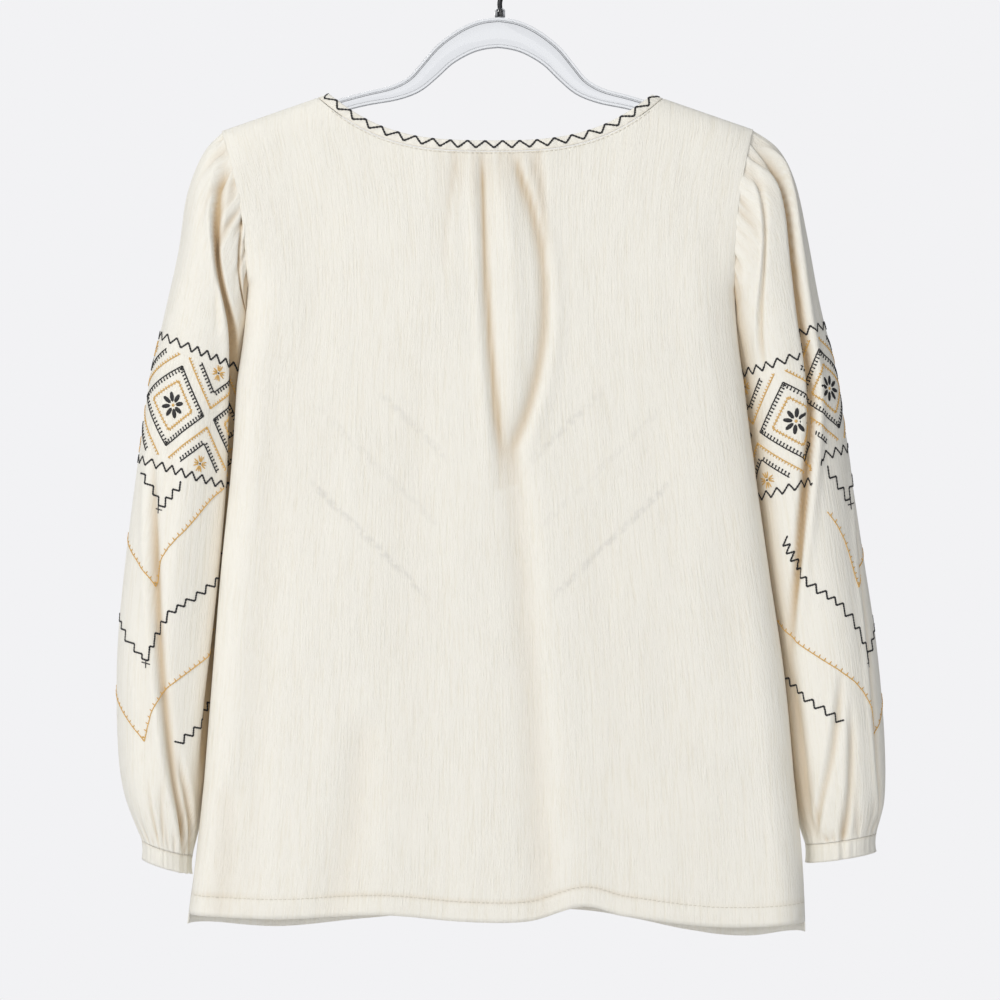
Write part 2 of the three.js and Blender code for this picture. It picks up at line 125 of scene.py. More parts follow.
sideRows = table("z left right", [
    (-264, -192.3, 178.6), (-300, -194.5, 180.2), (-340, -200, 185.5), (-400, -204, 193.2),
    (-480, -212, 204.2), (-560, -218.5, 216), (-640, -224.8, 223.5), (-700, -231, 229.6),
    (-765, -239, 232.3)])

depthRows = table("z back front", [
    (-60, 11, 11), (-150, 12, 12), (-260, 17, 18), (-400, 20, 22), (-580, 23, 25), (-765, 25, 27)])

hemRows = table("x back front", [
    (-240, -742, -750), (-170, -744.5, -754.5), (-90, -741.5, -747), (-25, -746.5, -742),
    (22, -746, -741), (62, -735, -742), (92, -742, -747), (150, -749.5, -758),
    (190, -750.5, -762), (235, -748, -756)])


def shoulderLine(x):
    return shoulder["apexZ"] - shoulder["slope"] * abs(x - shoulder["apexX"])


def armholePart(z, side):
    topZ = shoulderLine(armhole[side]["topX"])
    return clamp((topZ - z) / (topZ - armhole[side]["lowZ"]))


def sideEdge(z, side):
    part = armholePart(z, side)
    if part < 1:
        straight = mix(armhole[side]["topX"], sideRows[0][side], part)
        return straight + inwardOf[side] * armhole["curve"] * math.sin(math.pi * part)
    return rowValue(sideRows, rowPosition(sideRows, "z", z), side)


def armholeOpen(z, side):
    part = armholePart(z, side)
    return 2 * armhole["halfDepth"] * math.sqrt(part * (1 - part))


# Folds of the panels. Each runs from its top to its low end and bows sideways. A positive depth is a
# trough. Ridge is how much of the depth stands up again beside it, on the left if negative.
foldColumns = "topX topZ lowX lowZ bow width depth ridge"
panelFolds = {
    "back": table(foldColumns, [
        (-14, -158, 0, -392, -3, 3.2, 3.8, -0.5), (8, -164, 10, -390, 25, 4.2, 3.8, 0.4),
        (-3, -168, 5, -380, 10, 8, -2.4, 0), (5, -340, 34, -745, 3, 10, 2.6, 0.3),
        (-104, -590, -126, -745, 5, 13, 2.4, -0.3), (118, -330, 150, -745, -6, 24, 1.1, 0.3),
        (-170, -290, -196, -745, 6, 13, 1.3, 0.35), (-58, -300, -64, -700, -5, 20, 0.9, 0.2),
        (72, -420, 92, -745, 5, 18, 1.0, -0.3), (162, -200, 178, -560, 5, 13, 1.4, -0.3),
        (-130, -180, -152, -470, -5, 17, 0.9, 0.3), (-206, -640, -212, -745, 2, 9, 2.2, 0.3),
        (-31, -166, -42, -250, -2, 2.4, 0.7, 0.3), (24, -166, 34, -240, 2, 2.4, 0.7, -0.3)]),
    "front": table(foldColumns, [
        (-60, -240, -96, -748, 10, 15, 5.5, 0.3), (44, -240, 62, -748, -8, 13, 5, -0.3),
        (-8, -226, -20, -560, 6, 9, 3.6, 0.4), (118, -330, 152, -748, 8, 18, 4.5, 0.3),
        (-150, -380, -168, -748, -6, 18, 4, -0.3), (12, -420, 16, -748, 5, 20, 3, 0.2),
        (150, -190, 168, -520, -5, 16, 2.6, 0.3)]),
}
# Sharpness sets how much painted shade a fold's trough gets for its width.
foldLook = {"reach": 5, "ridgeAway": 1.9, "ridgeWidth": 1.3, "topWidth": 0.85, "lowWidth": 1.25,
            "sharpness": 0.8}


def foldShape(fold, across, width):
    if abs(across) > foldLook["reach"] * width:
        return 0.0
    away = foldLook["ridgeAway"] * width * (1 if fold["ridge"] > 0 else -1)
    return hill(across, width) - abs(fold["ridge"]) * hill(across - away, foldLook["ridgeWidth"] * width)


def foldDepth(fold, x, z):
    part = (fold["topZ"] - z) / (fold["topZ"] - fold["lowZ"])
    if part < -0.06 or part > 1.12:
        return 0.0
    held = clamp(part)
    middle = mix(fold["topX"], fold["lowX"], held) + fold["bow"] * 4 * held * (1 - held)
    width = fold["width"] * mix(foldLook["topWidth"], foldLook["lowWidth"], held)
    fade = ease(part, -0.05, 0.15) * (1 - 0.8 * ease(part, 0.88, 1.1))
    return fold["depth"] * fade * foldShape(fold, x - middle, width)


# Small gathers let into the neck.

dice = random.Random(7)
gather = {"middleX": -7, "above": 12, "below": 130, "aside": 90}
gathers = {"back": [], "front": []}
for face, fromX, toX, count in (("back", -46, 34, 15), ("front", -62, 48, 20)):
    for index in range(count):
        x = mix(fromX, toX, (index + dice.uniform(0.2, 0.8)) / count)
        gathers[face].append({
            "x": x, "lean": (x - gather["middleX"]) * dice.uniform(0.1, 0.35),
            "width": dice.uniform(1.5, 2.4), "depth": dice.uniform(0.5, 1.25),
            "length": dice.uniform(35, 120)})


def gatherDepth(face, x, z):
    down = neckShape[face]["lowZ"] - neck["bandWidth"] - z
    if not -gather["above"] <= down <= gather["below"]:
        return 0.0
    if abs(x - gather["middleX"]) > gather["aside"]:
        return 0.0
    total = 0.0
    for tuck in gathers[face]:
        part = down / tuck["length"]
        held = max(part, 0)
        across = x - (tuck["x"] + tuck["lean"] * held)
        total += tuck["depth"] * hill(across, tuck["width"] * (1 + 0.8 * held)) * (1 - ease(part, 0.1, 1))
    return total


def softWaves(x, z, seed):  # the slight unevenness of hanging cotton
    return (0.55 * math.sin(0.031 * x + 0.004 * z + seed) * math.sin(0.009 * z + 1.3 * seed)
            + 0.28 * math.sin(0.083 * x - 0.006 * z + 2.1 * seed) * math.sin(0.013 * z + seed)
            + 0.12 * math.sin(0.21 * x + 0.005 * z + seed) * math.sin(0.03 * z + 0.7 * seed))


def panelDepth(x, z, face):
    leftX, rightX = sideEdge(z, "left"), sideEdge(z, "right")
    inside = min(x - leftX, rightX - x)
    opening = armholeOpen(z, "left" if x - leftX < rightX - x else "right")
    around = quarterRound(inside, panel["sideRound"])
    crown = quarterRound(shoulderLine(x) - z, shoulder["round"])
    full = rowValue(depthRows, rowPosition(depthRows, "z", z), face) * crown
    folds = sum(foldDepth(fold, x, z) for fold in panelFolds[face]) + gatherDepth(face, x, z)
    folds -= softWaves(x, z, panel["waveSeed"][face]) * crown
    held = around * ease(inside, 0, 16)
    depth = opening + (max(full, opening) - opening) * around - folds * held
    return max(depth, panel["leastDepth"])


def neckPoint(part, offset, face):
    shape = neckShape[face]
    halfWidth = neck["halfWidth"] + offset
    x = neck["centreX"] + halfWidth * part
    endZ = shoulderLine(neck["centreX"] + math.copysign(halfWidth, part))
    z = mix(shape["lowZ"] - offset, endZ, abs(part) ** shape["power"])
    return x, min(z, shoulderLine(x))


# Cloth pieces.

cloth = {"thickness": 0.0009, "bandThickness": 0.0014}


def meshPiece(name, bm, materials, smooth=True):
    mesh = bpy.data.meshes.new(name)
    bm.to_mesh(mesh)
    bm.free()
    for material in materials:
        mesh.materials.append(material)
    if smooth:
        mesh.polygons.foreach_set("use_smooth", [True] * len(mesh.polygons))
    piece = bpy.data.objects.new(name, mesh)
    scene.collection.objects.link(piece)
    return piece


# A grid of cloth. Each point goes to place(across, down), which gives a point, its painted shade, kept in the
# fold attribute, and, on a panel, where it lies on the flat cut.
def clothGrid(columns, rows, place, wrapped=False, flipped=False):
    bm = bmesh.new()
    bmesh.ops.create_grid(bm, x_segments=columns, y_segments=rows, size=0.5)
    uvLayer = bm.loops.layers.uv.new("cut")
    foldShadeLayer = bm.verts.layers.float.new("fold")
    for face in bm.faces:
        for loop in face.loops:
            loop[uvLayer].uv = (loop.vert.co.x + 0.5, loop.vert.co.y + 0.5)
    for vert in bm.verts:
        across = clamp(vert.co.x + 0.5)
        down = clamp(0.5 - vert.co.y)
        point, shade, *cut = place(across, down)
        vert.co = Vector(point) * mm
        vert[foldShadeLayer] = shade
        for loop in vert.link_loops if cut else ():
            loop[uvLayer].uv = cut[0]
    if wrapped:
        bmesh.ops.remove_doubles(bm, verts=bm.verts, dist=0.00002)
    if flipped:
        bmesh.ops.reverse_faces(bm, faces=bm.faces)
    return bm


def clothPiece(name, bm, material, thickness, node, **flatCut):
    piece = meshPiece(name, bm, [material])
    wall = piece.modifiers.new("wall", "SOLIDIFY")
    wall.thickness = thickness
    wall.offset = -1.0
    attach(piece, "root")
    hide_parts(node)
    print(name, "ready")


def panelTop(across, face):
    offset, share = neck["bandWidth"] + neck["seamGap"], panel["shoulderShare"]
    for side, beyond, way in (("left", across, -1), ("right", 1 - across, 1)):
        if beyond < share:
            neckX = neck["centreX"] + way * neck["halfWidth"] + way * offset
            x = mix(armhole[side]["topX"], neckX, (beyond / share) ** panel["shoulderCrowding"])
            return x, shoulderLine(x)
    part = (across - share) / (1 - 2 * share)
    return neckPoint(mix(2 * part - 1, math.sin(math.pi * (part - 0.5)), panel["neckCrowding"]),
                     offset, face)


def panelPlace(face):
    def place(across, down):
        topX, topZ = panelTop(across, face)
        leftTop = sideEdge(topZ, "left")
        part = (topX - leftTop) / (sideEdge(topZ, "right") - leftTop)
        lowX = mix(sideRows[-1]["left"], sideRows[-1]["right"], part)
        hemZ = rowValue(hemRows, rowPosition(hemRows, "x", lowX), face)
        z = mix(topZ, hemZ, down ** panel["lowCrowding"])
        leftX, rightX = sideEdge(z, "left"), sideEdge(z, "right")
        x = mix(leftX, rightX, part)
        overHem = z - hemZ
        fromSeam = overHem - hem["height"]
        groove = hem["groove"] * hill(fromSeam, hem["grooveWidth"])
        wrinkles = math.sin(x * 1.15 + 2 * math.sin(x * 0.07))
        pucker = hem["pucker"] * wrinkles * hill(fromSeam, hem["puckerWidth"])
        doubled = hem["body"] * (1 - ease(overHem, 13.6, 15.0))
        depth = panelDepth(x, z, face)
        depth += (doubled - groove + pucker) * ease(min(x - leftX, rightX - x), 0, 8)
        # Painted shade: the fold troughs darken the cloth, narrow folds the most, and so do the neck gathers
        # and the hem seam.
        shade = sum(max(foldDepth(fold, x, z), 0) * foldLook["sharpness"] / fold["width"]
                    for fold in panelFolds[face])
        shade += 0.3 * max(gatherDepth(face, x, z), 0) + hem["shade"] * hill(fromSeam, 1.2)
        cutPlace = (part, (z - sideRows[-1]["z"]) / panel["cutHeight"])
        return (x, outwardOf[face] * depth, z), clamp(shade), cutPlace

    return place


# Sleeves. Rings run from the armhole to the cuff: the outer and inner end of each, half its depth, and how
# far its middle lies towards the front.

# The shade values paint shade into the sleeve's cloth: beside the body, in the tucks and, scaled by the last
# value, in the fold troughs.
sleeve = {"around": 168, "rows": 190, "wave": 0.5, "underarmTuck": 3.2, "bodyShade": 0.85,
          "tuckShade": 0.28, "fullShadeStrength": 11}
ringColumns = "outerX outerZ innerX innerZ deep forward"
sleeveRows = {
    "left": table(ringColumns, [
        (-211.3, -147.9, -192.3, -264, 14, 0), (-225.5, -164, -193.6, -281, 22, 4),
        (-238.5, -196.5, -193.8, -297, 28, 10), (-245.5, -238, -195.4, -311, 32, 15),
        (-257, -287.5, -197.6, -330, 34, 18), (-267.5, -333, -200, -364, 35, 20),
        (-275, -386.5, -202.6, -412, 36, 21), (-285, -466, -209.2, -488, 38, 21),
        (-292, -542, -216, -561, 38, 21), (-292, -611, -222, -627, 37, 20),
        (-287, -653, -227.5, -668, 34, 18), (-273.5, -687.5, -235, -699, 28, 16)]),
    "right": table(ringColumns, [
        (192.3, -146.9, 178.6, -268, 14, 0), (212, -161.5, 180.2, -284, 22, 4),
        (225.5, -187, 180.3, -297, 28, 10), (235, -227, 181.5, -313, 32, 15),
        (245, -280, 183.6, -333, 34, 18), (257, -331, 188.2, -367.5, 35, 20),
        (265, -386.5, 194.8, -422, 36, 21), (276, -462.5, 204, -493, 38, 21),
        (287.5, -538.5, 214, -559, 38, 21), (294, -610.5, 220.8, -623.5, 37, 20),
        (294, -656, 226, -665.5, 34, 18), (287.5, -682, 233, -690.5, 28, 16)]),
}

# Around runs from 0 at the outer line over the back, 0.25, to the body, 0.5, and on over the front. Each
# fold passes four places around. The last column is how strongly painted shade darkens the cloth in the fold.

sleeveFoldColumns = "first second third last start end width depth ridge tint"
sleeveFolds = {
    "left": table(sleeveFoldColumns, [
        (0.12, 0.37, 0.44, 0.415, 0, 0.86, 0.021, 9, -0.3, 3),
        (0.24, 0.28, 0.36, 0.44, -0.05, 0.16, 0.011, 3, 0.4, 3),
        (0.12, 0.22, 0.31, 0.4, 0.52, 1.04, 0.017, 5.5, -0.4, 1.8),
        (0.16, 0.24, 0.28, 0.31, 0.02, 0.34, 0.014, 1.8, 0.3, 1),
        (0.31, 0.36, 0.42, 0.47, 0.8, 1.04, 0.013, 3.2, 0.4, 2),
        (0.22, 0.2, 0.2, 0.2, 0.45, 0.9, 0.03, 1.6, 0.4, 0.5),
        (0.68, 0.69, 0.71, 0.72, 0.1, 0.8, 0.03, 6, 0.3, 1),
        (0.88, 0.87, 0.85, 0.84, 0.35, 0.97, 0.03, 5, -0.3, 1),
        (0.6, 0.6, 0.59, 0.58, 0.4, 0.98, 0.025, 4, 0.3, 1),
        (0.78, 0.78, 0.77, 0.77, 0.05, 0.4, 0.025, 3.5, 0.3, 1)]),
    "right": table(sleeveFoldColumns, [
        (0.075, 0.145, 0.2, 0.4, 0, 0.74, 0.016, 9, -0.3, 2.4),
        (0.14, 0.255, 0.32, 0.34, 0.02, 0.42, 0.011, 3.6, 0.3, 1.6),
        (0.06, 0.045, 0.035, 0.03, 0.09, 0.4, 0.008, 0.8, 0.3, 3),
        (-0.02, 0.08, 0.105, 0.04, 0.5, 1.02, 0.013, 3.6, 0.4, 1.6),
        (0.22, 0.27, 0.33, 0.37, 0.73, 0.97, 0.013, 3.2, 0.3, 1.8),
        (0.2, 0.22, 0.24, 0.26, 0.76, 1.04, 0.012, 3.2, 0.3, 1.8),
        (0.4, 0.39, 0.39, 0.38, 0.7, 1.02, 0.022, 3, 0.3, 1),
        (0.68, 0.68, 0.69, 0.7, 0.12, 0.85, 0.03, 6, 0.3, 1),
        (0.86, 0.85, 0.83, 0.82, 0.3, 0.97, 0.03, 5, -0.3, 1),
        (0.58, 0.58, 0.59, 0.6, 0.45, 0.98, 0.025, 4, 0.3, 1),
        (0.77, 0.77, 0.76, 0.76, 0.05, 0.4, 0.025, 3.5, 0.3, 1)]),
}


def roundDistance(around, middle):
    return (around - middle + 0.5) % 1.0 - 0.5


def sleeveFoldDepth(fold, along, around):
    part = (along - fold["start"]) / (fold["end"] - fold["start"])
    if part <= 0 or part >= 1:
        return 0.0
    path = [{"around": fold[place]} for place in ("first", "second", "third", "last")]
    across = roundDistance(around, rowValue(path, 3 * part, "around"))
    fade = ease(part, 0, 0.22) * (1 - ease(part, 0.78, 1))
    return fold["depth"] * fade * foldShape(fold, across, fold["width"])


# Tucks gathered into the armhole and into the cuff.

sleeveTucks = {"left": [], "right": []}
for tucks in sleeveTucks.values():
    for end, count, leastReach, mostReach in (("head", 30, 0.06, 0.26), ("cuff", 26, 0.05, 0.24)):
        for index in range(count):
            tucks.append({
                "end": end, "reach": dice.uniform(leastReach, mostReach),
                "around": (index + dice.uniform(0.15, 0.85)) / count, "width": dice.uniform(0.006, 0.011),
                "depth": dice.uniform(0.7, 2.3), "lean": dice.uniform(-0.02, 0.02)})


def tuckDepth(side, along, around):
    total = 0.0
    for tuck in sleeveTucks[side]:
        away = along if tuck["end"] == "head" else 1 - along
        if away > tuck["reach"]:
            continue
        part = away / tuck["reach"]
        across = roundDistance(around, tuck["around"] + tuck["lean"] * part)
        if abs(across) < 4 * tuck["width"]:
            held = (0.35 + 0.65 * ease(part, 0, 0.25)) * hill(across, tuck["width"] * (1 + 0.7 * part))
            total += tuck["depth"] * held * (1 - ease(part, 0.2, 1))
    return total


def sleevePoint(side, along, around):
    position = along * (len(sleeveRows[side]) - 1)
    ring = {column: rowValue(sleeveRows[side], position, column) for column in ringColumns.split()}
    depths = [(sleeveFoldDepth(fold, along, around), fold["tint"]) for fold in sleeveFolds[side]]
    folds = sum(depth for depth, tint in depths)
    # Painted shade: the fold troughs darken the cloth, each by its own strength; the tucks and the body's
    # cast shadow add more below.
    paintedShade = sum(max(depth, 0) * tint for depth, tint in depths) / sleeve["fullShadeStrength"]
    angle = 2 * math.pi * around
    sine, cosine = math.sin(angle), math.cos(angle)
    tucks = tuckDepth(side, along, around) * (0.3 + 0.7 * abs(sine))
    waves = sleeve["wave"] * math.sin(5 * angle + 9 * along + len(side))
    waves *= math.sin(math.pi * along) ** 0.5
    halfX = (ring["outerX"] - ring["innerX"]) / 2
    halfZ = (ring["outerZ"] - ring["innerZ"]) / 2
    shrink = 1 - (folds + tucks + waves) / min(math.hypot(halfX, halfZ), ring["deep"])
    lapped = (1 - ease(along, 0, 0.15)) * (armhole["curve"] * sine ** 2 + armhole["seamLap"])
    tuckedIn = sleeve["underarmTuck"] * hill(along - 0.2, 0.13) * ease(-cosine, 0.2, 1)
    point = (ring["innerX"] + halfX + halfX * cosine * shrink + inwardOf[side] * (lapped + tuckedIn),
             ring["forward"] - ring["deep"] * sine * shrink,
             ring["innerZ"] + halfZ + halfZ * cosine * shrink)
    # Painted shadow that the body's edge casts on the sleeve beside it.
    shadowBesideBody = ease(around, 0.33, 0.45) * (1 - ease(around, 0.5, 0.56)) * (1 - ease(along, 0.85, 1))
    return point, clamp(paintedShade + sleeve["tuckShade"] * tucks + sleeve["bodyShade"] * shadowBesideBody)


sleeveSurface = {}  # rows of points and shades, and the lengths along each row, for cloth and embroidery


def measureSleeve(side):
    rows, columns = sleeve["rows"], sleeve["around"]
    grid = [[sleevePoint(side, row / rows, column / columns) for column in range(columns)]
            for row in range(rows + 1)]
    lengths = []
    for line in grid:
        sums = [0.0]
        for column in range(columns):
            sums.append(sums[-1] + (Vector(line[(column + 1) % columns][0]) - Vector(line[column][0])).length)
        lengths.append(sums)
    sleeveSurface[side] = {"grid": grid, "lengths": lengths}


def sleevePlace(side):
    grid, rows, columns = sleeveSurface[side]["grid"], sleeve["rows"], sleeve["around"]
    return lambda across, down: grid[round(down * rows)][round(across * columns) % columns]


def sleeveSpot(side, row, around):  # a point of the sleeve's outer face, and the way it faces there
    grid, columns = sleeveSurface[side]["grid"], sleeve["around"]
    row = clamp(row, 0, sleeve["rows"] - 1.001)
    column = (around % 1.0) * columns
    top, left = int(row), int(column)
    (first, second), (third, fourth) = (
        [Vector(line[(left + across) % columns][0]) for across in (0, 1)] for line in grid[top:top + 2])
    upper, lower = first.lerp(second, column - left), third.lerp(fourth, column - left)
    facing = (lower - upper).cross(second - first).normalized()
    return upper.lerp(lower, row - top), facing * inwardOf[side]

# Where the embroidery lies on a sleeve. A place is in cloth millimetres: across from the sleeve's middle
# line towards the body, and down from the middle of the patterned band. Hidden is the cloth that a deep
# fold swallows at foldAt. Inner and outer say how the pointed lines climb: steep, reach, slope.

layouts = {
    "left": {"middle": 0.192, "atX": -248.5, "atZ": -356.1, "tilt": -0.36, "tiltSlope": 0.0011, "lean": 0.086,
             "foldAt": 0.4, "hidden": 8, "lift": 0, "squeeze": 0.78, "inner": (26, 6, 0.93),
             "outer": (2, 5, 0.66), "lowest": {"point": 308, "start": 25, "reach": 80}},
    "right": {"middle": 0.113, "atX": 225.0, "atZ": -368.3, "tilt": 0.31, "tiltSlope": 0, "lean": 0.18,
              "foldAt": 0.197, "hidden": 31, "lift": 17, "squeeze": 1, "inner": (33, 6, 1.0),
              "outer": (4, 5, 0.85), "lowest": {"point": 300, "start": 28, "reach": 100}},
}


def lastWhere(low, high, holds):  # halves a range to find where a test last holds
    while high - low > 1:
        middle = (low + high) // 2
        low, high = (middle, high) if holds(middle) else (low, middle)
    return low


def readBetween(values, position):
    whole = min(int(position), len(values) - 2)
    return mix(values[whole], values[whole + 1], position - whole)


def aroundAt(layout, lengths, across, swallowed):  # None where the fold or the underarm seam hides it
    columns = len(lengths) - 1
    start = readBetween(lengths, layout["middle"] * columns)
    toFold = readBetween(lengths, layout["foldAt"] * columns) - start
    target = start + across
    if across > toFold:
        if across < toFold + swallowed:
            return None
        target -= swallowed
    if target < 0:
        target += lengths[-1]
        if target < 0.53 * lengths[-1]:
            return None
    elif target > 0.5 * lengths[-1]:
        return None
    low = lastWhere(0, columns, lambda column: lengths[column] <= target)
    return (low + (target - lengths[low]) / max(lengths[low + 1] - lengths[low], 1e-6)) / columns


def heightAt(side, row, around, down):
    layout = layouts[side]
    x = sleeveSpot(side, row, around)[0].x
    tilt = layout["tilt"] + layout["tiltSlope"] * clamp(down, -50, 100)
    if around < 0.5:
        beyondFold = 1 - ease(around, layout["foldAt"] - 0.004, layout["foldAt"] + 0.004)
    else:
        beyondFold = ease(around, 0.55, 0.95)
    lift = layout["lift"] * beyondFold * (1 - ease(down, 40, 110))
    return layout["atZ"] - down + tilt * (x - layout["atX"]) + lift


def threadSpot(side, across, down):
    layout, rows = layouts[side], sleeve["rows"]
    swallowed = layout["hidden"] * (1 - ease(down, 40, 110))
    squeeze = mix(layout["squeeze"], 1, ease(down, 60, 110)) if across > 0 else 1
    across = across * squeeze - layout["lean"] * clamp(down, -50, 50) * (1 - ease(down, 60, 140))
    row = rows * 0.45
    for turn in range(4):  # each turn comes nearer
        lengths = sleeveSurface[side]["lengths"][int(clamp(row, 0, rows))]
        around = aroundAt(layout, lengths, across, swallowed)
        if around is None:
            return None
        z = heightAt(side, row, around, down)
        above = lastWhere(0, rows - 1, lambda near: sleeveSpot(side, near, around)[0].z > z)
        upperZ, lowerZ = (sleeveSpot(side, near, around)[0].z for near in (above, above + 1))
        row = above + clamp((upperZ - z) / max(upperZ - lowerZ, 1e-6))
    return sleeveSpot(side, row, around) if 3 <= row <= rows - 4 else None


# The embroidery's motifs. A stitch is (across, down, across, down, width) on the cloth.

thread = {"line": 1.6, "comb": 1.2, "tooth": 0.95, "fine": 1.05, "knot": 1.55, "mark": 1.0, "height": 0.8,
          "lay": 0.3}
blackComb = {"pace": 2.1, "spacing": 3.1, "inner": 2.7, "outer": 0, "width": thread["comb"], "knots": True}
goldComb = {"pace": 2.3, "spacing": 2.75, "inner": 1.9, "outer": 0.4, "width": thread["fine"]}
evenComb = {"pace": 2.3, "spacing": 2.75, "inner": 1.3, "outer": 1.3, "width": thread["fine"]}
wideComb = {"pace": 2.3, "spacing": 5.4, "inner": 0.2, "outer": 2.3, "width": thread["fine"]}
motif = {"repeat": 76, "bandHalf": 49, "margin": 8, "zigzag": 10.7, "zigzagHalf": 3.2, "diamond": 32.5,
         "innerDiamond": 20, "flower": 10.4, "smallFlower": 6.8, "smallFlowerDown": 38, "vee": 7.5,
         "halfDiamond": 21.4, "stair": 6.2, "points": ((141, "gold"), (198, "black"), (260, "gold")),
         "pointReach": 80}


def walk(points, pace):  # splits a line through points into stitches of about one pace
    stitches = []
    for (startX, startY), (endX, endY) in zip(points, points[1:]):
        length = math.hypot(endX - startX, endY - startY)
        count = max(1, round(length / pace))
        for index in range(count):
            a, b = index / count, (index + 1) / count
            stitches.append((mix(startX, endX, a), mix(startY, endY, a),
                             mix(startX, endX, b), mix(startY, endY, b)))
    return stitches


def lineStitches(points, pace, width):
    return [(*stitch, width) for stitch in walk(points, pace)]


def comb(points, pace, spacing, inner, outer, width, knots=False):  # a line with teeth across it
    made = lineStitches(points, pace, width)
    for startX, startY, endX, endY in walk(points, spacing):
        length = math.hypot(endX - startX, endY - startY) or 1
        sideX, sideY = -(endY - startY) / length, (endX - startX) / length
        midX, midY = (startX + endX) / 2, (startY + endY) / 2
        tipX, tipY = midX + sideX * inner, midY + sideY * inner
        made.append((midX - sideX * outer, midY - sideY * outer, tipX, tipY, thread["tooth"]))
        if knots:
            made.append((tipX - 0.5, tipY, tipX + 0.5, tipY, thread["knot"]))
    return made


def diamond(across, down, half):
    return [(across, down - half), (across + half, down), (across, down + half), (across - half, down),
            (across, down - half)]


def spokes(across, down, near, far, width, angles):
    return [(across + near * math.cos(angle), down + near * math.sin(angle),
             across + far * math.cos(angle), down + far * math.sin(angle), width) for angle in angles]


def petals(across, down, radius, width):
    angles = [math.pi * (index + 0.5) / 4 for index in range(8)]
    return spokes(across, down, 0.28 * radius, radius, width, angles)


def cross(down, half, above, below):  # a small cross on the middle line
    return (lineStitches([(0, down - above), (0, down + below)], 1.6, thread["mark"])
            + lineStitches([(-half, down), (half, down)], 1.6, thread["mark"]))


def zigzag(down, start, end):
    pace, half = motif["zigzag"] / 2, motif["zigzagHalf"]
    points = [(start + index * pace, down + (half if index % 2 else -half))
              for index in range(int((end - start) / pace) + 1)]
    return lineStitches(points, 2.2, thread["line"])


def stairs(points):  # a slanting line as small stairs
    made = []
    for startX, startY, endX, endY in walk(points, motif["stair"] * 1.6):
        made += lineStitches([(startX, startY), (endX, startY), (endX, endY)], 1.9, thread["line"])
    return made


def rise(arm, away):
    steep, reach, slope = arm
    return steep * (1 - math.exp(-away / reach)) + slope * away


armSpots = {"inner": (0, 2.5, 6, 11, 18, 30, 45, 60, 80, 100), "outer": (0, 4, 12, 24, 40, 60, 85)}


def climb(side, end, apex, start, reach):  # one arm of a pointed line, from its point on the middle line
    way = 1 if end == "inner" else -1
    return [(way * away, apex - rise(layouts[side][end], away))
            for away in armSpots[end] if start <= away <= reach]


def sleevePattern(side):
    black, gold = [], []
    half, low = motif["bandHalf"], motif["smallFlowerDown"]
    for down in (-half, half):
        black += zigzag(down, -150, 160)
    for index in (-2, -1, 0, 1, 2):
        across = index * motif["repeat"]
        black += comb(diamond(across, 0, motif["diamond"]), **blackComb)
        gold += comb(diamond(across, 0, motif["innerDiamond"]), **evenComb)
        black += petals(across, 0, motif["flower"], 3.4)
        gold += [(across - 1, 0, across + 1, 0, 2.4)]
        between, reach = across + motif["repeat"] / 2, half - motif["margin"]
        for way in (-1, 1):
            for tip, made, look, turned in ((motif["vee"], gold, goldComb, way),
                                            (motif["halfDiamond"], black, blackComb, -way)):
                made += comb([(between - (reach - tip), way * reach), (between, way * tip),
                              (between + (reach - tip), way * reach)][::turned], **look)
            gold += petals(between, way * low, motif["smallFlower"], 1.15)
            gold += spokes(between, way * low, 1.6, 6.2, 1.1, [math.pi * quarter / 2 for quarter in range(4)])
            black += [(between - 0.6, way * low, between + 0.6, way * low, 1.4)]
    black += stairs([(-22, 59), (0, 79), (22, 56)]) + cross(82, 4, 5, 3)
    for apex, color in motif["points"]:
        for end, reach in (("inner", motif["pointReach"]), ("outer", motif["pointReach"] + 5)):
            arm = climb(side, end, apex, 0, reach)
            if color == "black":
                black += stairs(arm)
            else:
                gold += comb(arm if end == "inner" else arm[::-1], **wideComb)
        if color == "black":
            black += cross(apex + 2.5, 4, 2.5, 3.5)
    lowest = layouts[side]["lowest"]
    black += stairs(climb(side, "inner", lowest["point"], lowest["start"], lowest["reach"]))
    return black, gold


poleAlong = Matrix.Rotation(math.pi / 2, 4, "Y")  # a sphere's poles turned along the stitch


def gathered(whole, part):
    scrap = bpy.data.meshes.new("scrap")
    part.to_mesh(scrap)
    part.free()
    whole.from_mesh(scrap)
    bpy.data.meshes.remove(scrap)
    return whole


# Each stitch is a small spindle of thread lying on the cloth, where spot says.
def sewStitches(name, stitches, spot, material):
    whole, part = bmesh.new(), bmesh.new()
    count = 0
    for startX, startY, endX, endY, width in stitches:
        start, end = spot(startX, startY), spot(endX, endY)
        if start is None or end is None:
            continue
        along = end[0] - start[0]
        if not 0.05 <= along.length <= 1.8 * math.hypot(endX - startX, endY - startY) + 1.5:
            continue
        facing = (start[1] + end[1]).normalized()
        middle = (start[0] + end[0]) / 2 + facing * thread["lay"]
        forward = along.normalized()
        sideways = facing.cross(forward).normalized()
        shape = Matrix((forward * (along.length / 2 + 0.32), sideways * width / 2,
                        forward.cross(sideways) * thread["height"] / 2)).transposed() * mm
        place = Matrix.Translation(middle * mm) @ shape.to_4x4()
        bmesh.ops.create_uvsphere(part, u_segments=6, v_segments=4, radius=1, matrix=place @ poleAlong)
        count += 1
        if count % 120 == 0:  # a small mesh at a time is quicker
            whole, part = gathered(whole, part), bmesh.new()
    whole = gathered(whole, part)
    bmesh.ops.recalc_face_normals(whole, faces=whole.faces)
    piece = meshPiece(name, whole, [material])
    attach(piece, "root")
    print(name, count, "stitches")


# Materials.

def link(tree, source, target):
    tree.links.new(source, target)


